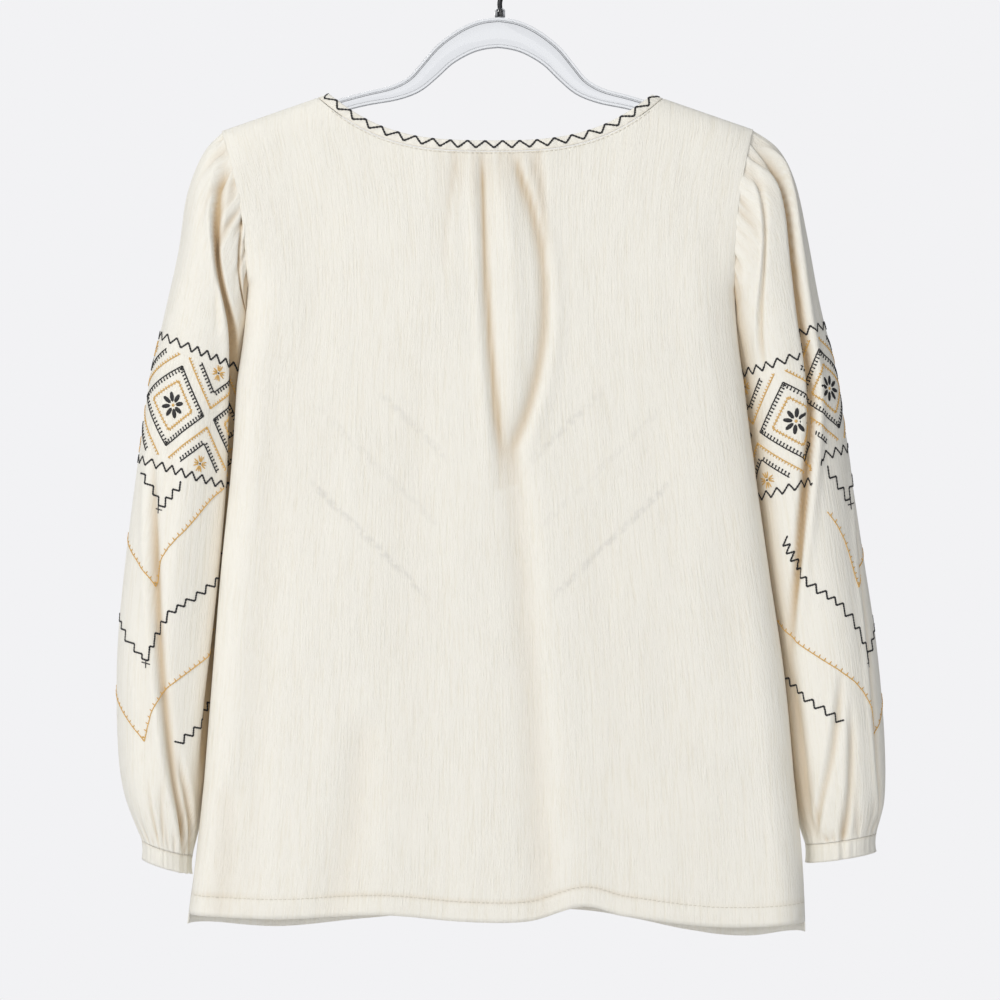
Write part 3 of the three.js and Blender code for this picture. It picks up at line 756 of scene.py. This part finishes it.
def addNode(tree, kind, **values):
    node = tree.nodes.new("ShaderNode" + kind)
    for name, value in values.items():
        setattr(node, name, value)
    return node


def sumNode(tree, operation, first, second=None, third=None):
    node = addNode(tree, "Math", operation=operation)
    for socket, value in zip(node.inputs, (first, second, third)):
        if value is None:
            continue
        if isinstance(value, (int, float)):
            socket.default_value = value
        else:
            link(tree, value, socket)
    return node.outputs[0]


def scaledNoise(tree, vector, scale, detail=2, roughness=0.5):
    stretch = addNode(tree, "Mapping")
    stretch.inputs["Scale"].default_value = scale
    link(tree, vector, stretch.inputs["Vector"])
    noise = addNode(tree, "TexNoise")
    for socket, value in (("Scale", 1), ("Detail", detail), ("Roughness", roughness)):
        noise.inputs[socket].default_value = value
    link(tree, stretch.outputs["Vector"], noise.inputs["Vector"])
    return noise.outputs["Fac"]


def rangeNode(tree, value, low, high, toLow=0, toHigh=1, kind="SMOOTHSTEP"):
    node = addNode(tree, "MapRange", interpolation_type=kind)
    for socket, given in (("Value", value), ("From Min", low), ("From Max", high), ("To Min", toLow),
                          ("To Max", toHigh)):
        if isinstance(given, (int, float)):
            node.inputs[socket].default_value = given
        else:
            link(tree, given, node.inputs[socket])
    return node.outputs["Result"]


def mixNode(tree, part, first, second):
    node = addNode(tree, "Mix", data_type="RGBA")
    for socket, given in (("Factor", part), ("A", first), ("B", second)):
        if isinstance(given, tuple):
            node.inputs[socket].default_value = given
        else:
            link(tree, given, node.inputs[socket])
    return node.outputs["Result"]


def effectGroup(name, inputs, outputs):
    tree = bpy.data.node_groups.new(name, "ShaderNodeTree")
    for way, sockets in (("INPUT", inputs), ("OUTPUT", outputs)):
        for socket, kind in sockets.items():
            tree.interface.new_socket(socket, in_out=way, socket_type="NodeSocket" + kind)
    return tree, tree.nodes.new("NodeGroupInput").outputs, tree.nodes.new("NodeGroupOutput").inputs


# The cloth's own colour, with painted shade: darker in the hollows of the crinkle lines and warm brown in the
# folds, as the fold attribute says.
cottonLook = {"line": (0.66, 0.042, 1), "fineLine": (1.7, 0.3, 1), "patch": (0.03, 0.016, 1),
              "color": (0.9, 0.872, 0.788, 1), "shade": (0.8, 0.742, 0.6, 1),
              "foldShadeColor": (0.5, 0.33, 0.14, 1), "fineShare": 0.55, "lineShade": 0.42, "foldShade": 0.78,
              "foldPower": 1.25, "bumpDistance": 0.00085}


def crinkleAndShadeEffect():  # fine lines down the cloth, in patches, and warm shade in the folds
    tree, given, made = effectGroup("crinkleAndShade", {"Cut": "Vector", "FoldShade": "Float"},
                                    {"Color": "Color", "Height": "Float"})
    lines = scaledNoise(tree, given["Cut"], cottonLook["line"], 2.5, 0.6)
    fine = scaledNoise(tree, given["Cut"], cottonLook["fineLine"])
    patches = scaledNoise(tree, given["Cut"], cottonLook["patch"])
    height = sumNode(tree, "MULTIPLY_ADD", fine, cottonLook["fineShare"], lines)
    strength = sumNode(tree, "MULTIPLY_ADD", patches, 1.1, 0.35)
    link(tree, sumNode(tree, "MULTIPLY", height, strength), made["Height"])
    # Painted shade in the hollows of the crinkle lines.
    hollow = rangeNode(tree, lines, 0.52, 0.24, kind="LINEAR")
    shaded = mixNode(tree, sumNode(tree, "MULTIPLY", hollow, cottonLook["lineShade"]),
                     cottonLook["color"], cottonLook["shade"])
    # Painted warm shade in the folds.
    shadeInFolds = sumNode(tree, "POWER", given["FoldShade"], cottonLook["foldPower"])
    link(tree, mixNode(tree, sumNode(tree, "MULTIPLY", shadeInFolds, cottonLook["foldShade"]), shaded,
                       cottonLook["foldShadeColor"]), made["Color"])
    return tree


frontLines = {"slope": 0.98, "reach": 128}
faintLook = {"faintAt": 0.006, "fullAt": 0.001, "fade": 0.012, "patch": (160, 1, 160),
             "color": (0.24, 0.23, 0.24, 1)}
showingLines = table("point near far strength", [
    (-548, 56, 128, 0.15), (-429, 39, 79, 0.1), (-486, 46, 122, 0.06)])


def showingEffect():  # a pointed line on the far panel, seen faintly through the near one
    tree, given, made = effectGroup(
        "showing", dict.fromkeys(("Across", "Height", "Point", "Near", "Far"), "Float"), {"Mask": "Float"})
    line = sumNode(tree, "MULTIPLY_ADD", given["Across"], frontLines["slope"], given["Point"])
    away = sumNode(tree, "ABSOLUTE", sumNode(tree, "SUBTRACT", given["Height"], line))
    near = rangeNode(tree, away, faintLook["faintAt"], faintLook["fullAt"])
    before = sumNode(tree, "SUBTRACT", given["Near"], faintLook["fade"])
    beyond = sumNode(tree, "ADD", given["Far"], faintLook["fade"])
    window = sumNode(tree, "MULTIPLY", rangeNode(tree, given["Across"], before, given["Near"]),
                     rangeNode(tree, given["Across"], beyond, given["Far"]))
    link(tree, sumNode(tree, "MULTIPLY", near, window), made["Mask"])
    return tree


def newMaterial(name, **values):
    material = bpy.data.materials.new(name)
    material.use_nodes = True
    shader = material.node_tree.nodes["Principled BSDF"]
    for socket, value in values.items():
        shader.inputs[socket].default_value = value
    return material, shader


crinkleAndShade = crinkleAndShadeEffect()
showing = showingEffect()


def showThrough(tree, color):
    place = addNode(tree, "TexCoord").outputs["Object"]
    split = addNode(tree, "SeparateXYZ")
    link(tree, place, split.inputs["Vector"])
    across = sumNode(tree, "ABSOLUTE", sumNode(tree, "ADD", split.outputs["X"], -neck["centreX"] * mm))
    mask = 0.0
    for line in showingLines:
        part = addNode(tree, "Group", node_tree=showing)
        for key in ("point", "near", "far"):
            part.inputs[key.capitalize()].default_value = line[key] * mm
        link(tree, across, part.inputs["Across"])
        link(tree, split.outputs["Z"], part.inputs["Height"])
        faint = sumNode(tree, "MULTIPLY", part.outputs["Mask"], line["strength"])
        mask = sumNode(tree, "MAXIMUM", faint, mask)
    patches = rangeNode(tree, scaledNoise(tree, place, faintLook["patch"]), 0.36, 0.6, kind="LINEAR")
    return mixNode(tree, sumNode(tree, "MULTIPLY", mask, patches), color, faintLook["color"])


def cottonMaterial(name, flatSize, seed, bumpStrength=0.75, showsThrough=False):
    material, shader = newMaterial(
        name, **{"Roughness": 0.88, "Specular IOR Level": 0.18, "Sheen Weight": 0.12})
    tree = material.node_tree
    spread = addNode(tree, "Mapping")
    spread.inputs["Scale"].default_value = (*flatSize, 1)
    spread.inputs["Location"].default_value = (seed, 3 * seed, seed)
    link(tree, addNode(tree, "UVMap", uv_map="cut").outputs["UV"], spread.inputs["Vector"])
    effect = addNode(tree, "Group", node_tree=crinkleAndShade)
    link(tree, spread.outputs["Vector"], effect.inputs["Cut"])
    # The fold attribute carries the painted shade of folds, tucks and seams into the colour.
    fold = addNode(tree, "Attribute", attribute_name="fold")
    link(tree, fold.outputs["Fac"], effect.inputs["FoldShade"])
    color = effect.outputs["Color"]
    link(tree, showThrough(tree, color) if showsThrough else color, shader.inputs["Base Color"])
    bump = addNode(tree, "Bump")
    bump.inputs["Strength"].default_value = bumpStrength
    bump.inputs["Distance"].default_value = cottonLook["bumpDistance"]
    link(tree, effect.outputs["Height"], bump.inputs["Height"])
    link(tree, bump.outputs["Normal"], shader.inputs["Normal"])
    return material


def spottedMaterial(name, first, second, noiseScale, detail, **values):  # two near colours in small spots
    material, shader = newMaterial(name, **values)
    tree = material.node_tree
    place = addNode(tree, "TexCoord")
    spots = scaledNoise(tree, place.outputs["Object"], (noiseScale,) * 3, detail)
    link(tree, mixNode(tree, spots, (*first, 1), (*second, 1)), shader.inputs["Base Color"])
    return material


backCotton = cottonMaterial("back cotton", (450, 650), 1.5, showsThrough=True)
frontCotton = cottonMaterial("front cotton", (450, 650), 8.2)
sleeveCotton = cottonMaterial("sleeve cotton", (235, 540), 15.4)
bandCotton = cottonMaterial("band cotton", (560, 16), 21.7, bumpStrength=0.5)
blackThread = spottedMaterial("black thread", (0.008, 0.008, 0.009), (0.022, 0.021, 0.023), 1400, 2,
                              Roughness=0.6)
goldThread = spottedMaterial("gold thread", (0.6, 0.35, 0.09), (0.8, 0.5, 0.15), 1400, 2, Roughness=0.42)
creamThread = spottedMaterial("cream thread", (0.68, 0.63, 0.52), (0.8, 0.77, 0.68), 1400, 2, Roughness=0.7)
clearPlastic = spottedMaterial("clear plastic", (0.9, 0.915, 0.93), (0.87, 0.89, 0.91), 30, 3, Roughness=0.03,
                               IOR=1.49, **{"Transmission Weight": 1})
blackMetal = spottedMaterial("black metal", (0.02, 0.02, 0.022), (0.03, 0.03, 0.032), 400, 3, Roughness=0.35,
                             Metallic=0.6)
print("materials ready")

# The body: back, front and the bound neck.

for face, material, area in (("back", backCotton, 0.29), ("front", frontCotton, 0.27)):
    grid = clothGrid(panel["columns"], panel["rows"], panelPlace(face),
                     flipped=face == "front")
    clothPiece(f"{face}Panel", grid, material, cloth["thickness"], f"{face}_panel",
               flat=(0.5, 0.66), area=area, held="hung", rests_on=["hanger_body"])

band = {"around": 440, "rows": 10, "rope": 0.35, "twists": 88, "roll": 0.5}


def neckBandSpot(around, offset):  # around runs from the left shoulder over the back, then over the front
    face = "back" if around < 0.5 else "front"
    part = -math.cos(2 * math.pi * around)
    x, z = neckPoint(part, offset, face)
    depth = max(panelDepth(x, z, face), 0) if abs(part) < 0.9999 else 0
    return x, outwardOf[face] * depth, z


def neckBandPlace(across, down):
    across = across % 1.0
    x, y, z = neckBandSpot(across, neck["bandWidth"] * down)
    rope = band["rope"] * math.sin(2 * math.pi * across * band["twists"])
    swell = (band["roll"] + rope) * math.sin(math.pi * down) * ease(abs(y), 0, 6)
    # The second value is painted shade along the band's edge at the panel.
    return (x, y + outwardOf["back" if across < 0.5 else "front"] * swell, z), 0.25 * hill(down - 1, 0.15)


clothPiece("neckBand", clothGrid(band["around"], band["rows"], neckBandPlace, wrapped=True),
           bandCotton, cloth["bandThickness"], "neck_band",
           flat=(0.64, 0.0102), area=0.0065, held="gathered", rests_on=["backPanel", "frontPanel"])

# Sleeves and cuffs.

cuff = {"rows": 8, "below": 0.3, "height": 14, "gathers": 23, "swell": 0.8, "wave": 0.35}


def cuffPlace(side):
    count = sleeve["around"]

    def place(across, down):
        x, y, z = sleeveSurface[side]["grid"][-1][round(across * count) % count][0]
        angle = 2 * math.pi * across
        wave = cuff["wave"] * math.sin(cuff["gathers"] * angle) * math.sin(math.pi * down)
        swell = cuff["swell"] * math.sin(math.pi * down) + wave
        point = (x + inwardOf[side] * swell * math.cos(angle), y - swell * math.sin(angle),
                 z - cuff["below"] - cuff["height"] * down)
        # The second value is painted shade along the cuff's seam with the sleeve and on its gathers.
        return point, 0.25 * hill(down, 0.12) + 0.15 * max(wave, 0)

    return place


for side in ("left", "right"):
    measureSleeve(side)
    for part, rows, place, material, thickness, flatCut in (
            ("Sleeve", sleeve["rows"], sleevePlace(side), sleeveCotton, cloth["thickness"],
             {"flat": (0.26, 0.56), "area": 0.125, "held": "gathered",
              "rests_on": ["backPanel", "frontPanel"]}),
            ("Cuff", cuff["rows"], cuffPlace(side), bandCotton, cloth["bandThickness"],
             {"flat": (0.19, 0.0145), "area": 0.0027, "held": "gathered", "rests_on": [f"{side}Sleeve"]})):
        grid = clothGrid(sleeve["around"], rows, place, wrapped=True, flipped=side == "right")
        clothPiece(side + part, grid, material, thickness, f"{part.lower()}_{side}", **flatCut)

# The embroidery.

for side in ("left", "right"):
    spot = lambda across, down: threadSpot(side, across, down)
    for color, stitches, material in zip(("black", "gold"), sleevePattern(side), (blackThread, goldThread)):
        sewStitches(f"{side}Sleeve{color.capitalize()}Stitches", stitches, spot, material)


def panelSpot(face):
    nearby = 0.5

    def spot(x, down):
        depth = panelDepth(x, -down, face)
        slopeX = (panelDepth(x + nearby, -down, face) - depth) / nearby
        slopeZ = (panelDepth(x, nearby - down, face) - depth) / nearby
        sign = outwardOf[face]
        return Vector((x, sign * depth, -down)), Vector((-slopeX, sign, -slopeZ)).normalized()

    return spot


neckStitches = {"period": 13.6, "low": 5.6, "high": 0.2, "width": 1.7, "perTurn": 4, "measured": 3,
                "steps": 4000}


def neckSpot(around, offset):
    part = offset / neck["bandWidth"]
    place, beside, below = (Vector(neckBandPlace(*spot)[0]) for spot in (
        (around, part), (around + 0.0004, part), (around, part + 0.05)))
    return place, (below - place).cross(beside - place).normalized()


def neckZigzag():
    steps = neckStitches["steps"]
    points = [Vector(neckBandSpot(step / steps, neckStitches["measured"])) for step in range(steps + 1)]
    lengths = [0.0]
    for before, after in zip(points, points[1:]):
        lengths.append(lengths[-1] + (after - before).length)
    count = 2 * round(lengths[-1] / neckStitches["period"])
    turns = []
    for turn in range(count + 1):
        wanted = lengths[-1] * turn / count
        low = lastWhere(0, steps, lambda step: lengths[step] < wanted)
        part = (wanted - lengths[low]) / max(lengths[low + 1] - lengths[low], 1e-6)
        turns.append(((low + part) / steps, neckStitches["low" if turn % 2 else "high"]))
    shares = [share / neckStitches["perTurn"] for share in range(neckStitches["perTurn"] + 1)]
    return [(mix(startAt, endAt, a), mix(startOff, endOff, a), mix(startAt, endAt, b),
             mix(startOff, endOff, b), neckStitches["width"])
            for (startAt, startOff), (endAt, endOff) in zip(turns, turns[1:])
            for a, b in zip(shares, shares[1:])]


sewStitches("neckStitches", neckZigzag(), neckSpot, blackThread)


def frontLine(apex):
    reach = frontLines["reach"]
    return [(neck["centreX"] + share * reach, -apex - abs(share) * reach * frontLines["slope"])
            for share in (-1, 0, 1)]


sewStitches("frontBlackStitches", stairs(frontLine(-429)) + stairs(frontLine(-548)), panelSpot("front"),
            blackThread)
sewStitches("frontGoldStitches", comb(frontLine(-486), **wideComb), panelSpot("front"),
            goldThread)

seamStitches = {"pitch": 3.4, "length": 2.3, "neckLength": 2.2, "width": 0.55, "hemEnd": 4, "neckEnd": 2,
                "besideBand": 1.6, "neckSteps": 600}


def hemRun(face):
    made, x = [], sideRows[-1]["left"] + seamStitches["hemEnd"]
    while x < sideRows[-1]["right"] - seamStitches["hemEnd"]:
        down = -rowValue(hemRows, rowPosition(hemRows, "x", x), face) - hem["height"]
        made.append((x, down, x + seamStitches["length"], down, seamStitches["width"]))
        x += seamStitches["pitch"]
    return made


def neckRun(face):
    offset, steps = neck["bandWidth"] + seamStitches["besideBand"], seamStitches["neckSteps"]
    points = [neckPoint(-1 + 2 * index / steps, offset, face) for index in range(steps + 1)]
    sideways = neck["halfWidth"] - seamStitches["neckEnd"]
    made, walked = [], 0.0
    for (startX, startZ), (x, z) in zip(points, points[1:]):
        length = math.hypot(x - startX, z - startZ)
        walked += length
        if walked > seamStitches["pitch"] and abs(x - neck["centreX"]) < sideways:
            wayX, wayZ = (x - startX) / length, (z - startZ) / length
            made.append((x, -z, x + wayX * seamStitches["neckLength"], -z - wayZ * seamStitches["neckLength"],
                         seamStitches["width"]))
            walked = 0.0
    return made


for face in ("back", "front"):
    sewStitches(f"{face}HemStitches", hemRun(face) + neckRun(face), panelSpot(face), creamThread)

# The hanger and its hook.

hanger = {"tilt": 0.0151, "rimWidth": 8.4, "rimHeight": 2.2, "webThickness": 3, "steps": 60,
          "nearby": 0.05, "edge": 0.0006, "sharpness": 0.9}
hangerRows = table("x z height", [
    (0, -73.3, 22.6), (12, -75, 22.2), (25, -80, 20.5), (40, -90, 18.5), (52, -102.5, 16.5), (63, -113, 14),
    (78, -120, 11.5), (100, -125, 10), (120, -130.7, 9.6), (150, -141.2, 9.6), (182, -152.4, 9.6)])


def hardPiece(name, bm, material, node):
    piece = meshPiece(name, bm, [material])
    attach(piece, "root")
    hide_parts(node)


def joinRings(rings):  # a closed form through rings of points
    bm = bmesh.new()
    before = None
    for ring in rings:
        verts = [bm.verts.new(point * mm) for point in ring]
        if before is None:
            bm.faces.new(verts)
        else:
            for index in range(len(verts)):
                after = (index + 1) % len(verts)
                bm.faces.new((before[index], before[after], verts[after], verts[index]))
        before = verts
    bm.faces.new(before[::-1])
    bmesh.ops.recalc_face_normals(bm, faces=bm.faces)
    return bm


def softenEdges(bm, settings):
    corners = [edge for edge in bm.edges if edge.calc_face_angle(0) > settings["sharpness"]]
    bmesh.ops.bevel(bm, geom=corners, offset=settings["edge"], offset_type="OFFSET", affect="EDGES",
                    segments=2, profile=0.5, material=-1, clamp_overlap=True)
    return bm


def hangerStation(position):
    side = -1 if position < 0 else 1
    x, z, height = (rowValue(hangerRows, abs(position), column) for column in ("x", "z", "height"))
    return Vector((side * x, 0, z)), height


def hangerSection(height):
    rim, web, top = hanger["rimWidth"] / 2, hanger["webThickness"] / 2, height / 2
    step = top - hanger["rimHeight"]
    return [(-rim, top), (rim, top), (rim, step), (web, step), (web, -step), (rim, -step),
            (rim, -top), (-rim, -top), (-rim, -step), (-web, -step), (-web, step), (-rim, step)]


def hangerRings():
    last, steps, nearby = len(hangerRows) - 1, hanger["steps"], hanger["nearby"]
    turn = Matrix.Rotation(hanger["tilt"], 3, "Y")
    for step in range(-steps, steps + 1):
        position = last * step / steps
        middle, height = hangerStation(position)
        ahead = hangerStation(min(position + nearby, last))[0]
        behind = hangerStation(max(position - nearby, -last))[0]
        along = (ahead - behind).normalized()
        up = Vector((-along.z, 0, along.x))
        yield [turn @ (middle + Vector((0, across, 0)) + up * away) for across, away in hangerSection(height)]


hardPiece("hanger", softenEdges(joinRings(hangerRings()), hanger), clearPlastic,
          "hanger_body")

wire = {"radius": 1.9, "endSize": 0.72, "loopRadius": 20, "loopStart": -45, "loopEnd": 195, "loopStep": 20,
        "stemLowZ": -61.4, "around": 20, "perPart": 6}


def hookPath():
    lowZ, loop = wire["stemLowZ"], wire["loopRadius"]
    middleZ = wire["radius"] - loop
    points = [(0, lowZ), (0, lowZ + 6), (0, lowZ + 12), (3, middleZ - loop - 4)]
    for angle in range(wire["loopStart"], wire["loopEnd"] + 1, wire["loopStep"]):
        points.append((loop * math.cos(math.radians(angle)), middleZ + loop * math.sin(math.radians(angle))))
    rows, perPart = table("x z", points), wire["perPart"]
    spots = [index / perPart for index in range((len(rows) - 1) * perPart + 1)]
    spots = [spots[0], 0.06] + spots[1:-1] + [spots[-1] - 0.06, spots[-1]]
    return [Vector((rowValue(rows, spot, "x"), 0, rowValue(rows, spot, "z"))) for spot in spots]


def wireRings(path):
    depthWay, around = Vector((0, 1, 0)), wire["around"]
    for index, point in enumerate(path):
        forward = path[min(index + 1, len(path) - 1)] - path[max(index - 1, 0)]
        sideways = forward.normalized().cross(depthWay).normalized()
        size = wire["radius"] * (wire["endSize"] if index in (0, len(path) - 1) else 1)
        yield [point + sideways * size * math.cos(2 * math.pi * turn / around)
               + depthWay * size * math.sin(2 * math.pi * turn / around) for turn in range(around)]


hardPiece("hook", joinRings(wireRings(hookPath())), blackMetal, "hanger_hook")

collar = {"outer": 3.9, "inner": 2.2, "topZ": -55, "lowZ": -61.6, "slant": 1, "around": 40, "edge": 0.0003,
          "sharpness": 0.6}


def collarForm():
    bm = bmesh.new()
    high, low, outer, inner = (collar[key] for key in ("topZ", "lowZ", "outer", "inner"))
    profile = [(inner, low), (outer, low), (outer, high - collar["slant"]), (outer - collar["slant"], high),
               (inner, high)]
    verts = [bm.verts.new((radius * mm, 0, z * mm)) for radius, z in profile]
    edges = [bm.edges.new((verts[index], verts[(index + 1) % len(verts)])) for index in range(len(verts))]
    bmesh.ops.spin(bm, geom=verts + edges, cent=(0, 0, 0), axis=(0, 0, 1), angle=2 * math.pi,
                   steps=collar["around"], use_merge=True)
    bmesh.ops.remove_doubles(bm, verts=bm.verts, dist=0.00001)
    bmesh.ops.recalc_face_normals(bm, faces=bm.faces)
    return softenEdges(bm, collar)


hardPiece("hookCollar", collarForm(), clearPlastic, "hook_collar")
print("hanger ready")

# Floor, light and camera.

stage = {"floorDrop": 0.28, "floorRadius": 1.6, "lampAim": (0, 0, -0.42), "lens": 151.6, "sensor": 36,
         "cameraPlace": (0, -3.2, -0.42832), "background": (0.888, 0.888, 0.905, 1),
         "around": (0.78, 0.8, 0.84, 1), "leftStrength": 0.66, "rightStrength": 0.04,
         "lessInPlastic": -0.8}
lamps = table("name place size power color", [
    ("key", (-1.7, -2.3, 0.9), 1.1, 38.5, (1, 0.98, 0.95)),
    ("fill", (0.9, -2.9, -0.2), 2.2, 17, (1, 0.98, 0.955)),
    ("behind", (-0.6, 2.2, 0.8), 1.6, 22, (1, 0.99, 0.97))])

floorForm = bmesh.new()
bmesh.ops.create_circle(floorForm, cap_ends=True, radius=stage["floorRadius"], segments=96,
                        matrix=Matrix.Translation((0, 0, cadLow[2] - stage["floorDrop"])))
floorPaint = spottedMaterial("floor paint", (0.8, 0.8, 0.81), (0.84, 0.84, 0.85), 3, 3, Roughness=0.7)
meshPiece("floor", floorForm, [floorPaint], smooth=False)

for row in lamps:
    light = bpy.data.lights.new(row["name"], "AREA")
    light.shape = "RECTANGLE"
    light.size = light.size_y = row["size"]
    light.energy = row["power"]
    light.color = row["color"]
    lamp = bpy.data.objects.new(row["name"], light)
    scene.collection.objects.link(lamp)
    lamp.visible_transmission = False
    lamp.location = row["place"]
    aim = Vector(stage["lampAim"]) - Vector(row["place"])
    lamp.rotation_euler = aim.to_track_quat("-Z", "Y").to_euler()

world = bpy.data.worlds.new("studio")
world.use_nodes = True
scene.world = world
room = world.node_tree
surround = room.nodes["Background"]
surround.inputs["Color"].default_value = stage["around"]
backdrop = addNode(room, "Background")
backdrop.inputs["Color"].default_value = stage["background"]
backdrop.inputs["Strength"].default_value = 1
ways = addNode(room, "SeparateXYZ")
link(room, addNode(room, "TexCoord").outputs["Generated"], ways.inputs["Vector"])
rays = addNode(room, "LightPath").outputs
dimmer = rangeNode(room, ways.outputs["X"], 0.5, 1.0,  # the room is dark at right
                   stage["leftStrength"], stage["rightStrength"])
inPlastic = sumNode(room, "MULTIPLY_ADD", rays["Is Transmission Ray"], stage["lessInPlastic"], 1.0)
link(room, sumNode(room, "MULTIPLY", dimmer, inPlastic), surround.inputs["Strength"])
alongY = sumNode(room, "ABSOLUTE", ways.outputs["Y"])
ahead = rangeNode(room, alongY, 0.8, 0.985)  # bent rays miss the backdrop
through = sumNode(room, "MULTIPLY", rays["Is Transmission Ray"], ahead)
blend = addNode(room, "MixShader")
link(room, sumNode(room, "MAXIMUM", rays["Is Camera Ray"], through), blend.inputs["Fac"])
link(room, surround.outputs["Background"], blend.inputs[1])
link(room, backdrop.outputs["Background"], blend.inputs[2])
link(room, blend.outputs["Shader"], room.nodes["World Output"].inputs["Surface"])

cameraData = bpy.data.cameras.new("camera")
cameraData.lens = stage["lens"]
cameraData.sensor_width = stage["sensor"]
camera = bpy.data.objects.new("camera", cameraData)
scene.collection.objects.link(camera)
camera.location = stage["cameraPlace"]
camera.rotation_euler = (math.pi / 2, 0, 0)
scene.camera = camera
scene.view_settings.view_transform = "Standard"
print("stage ready")
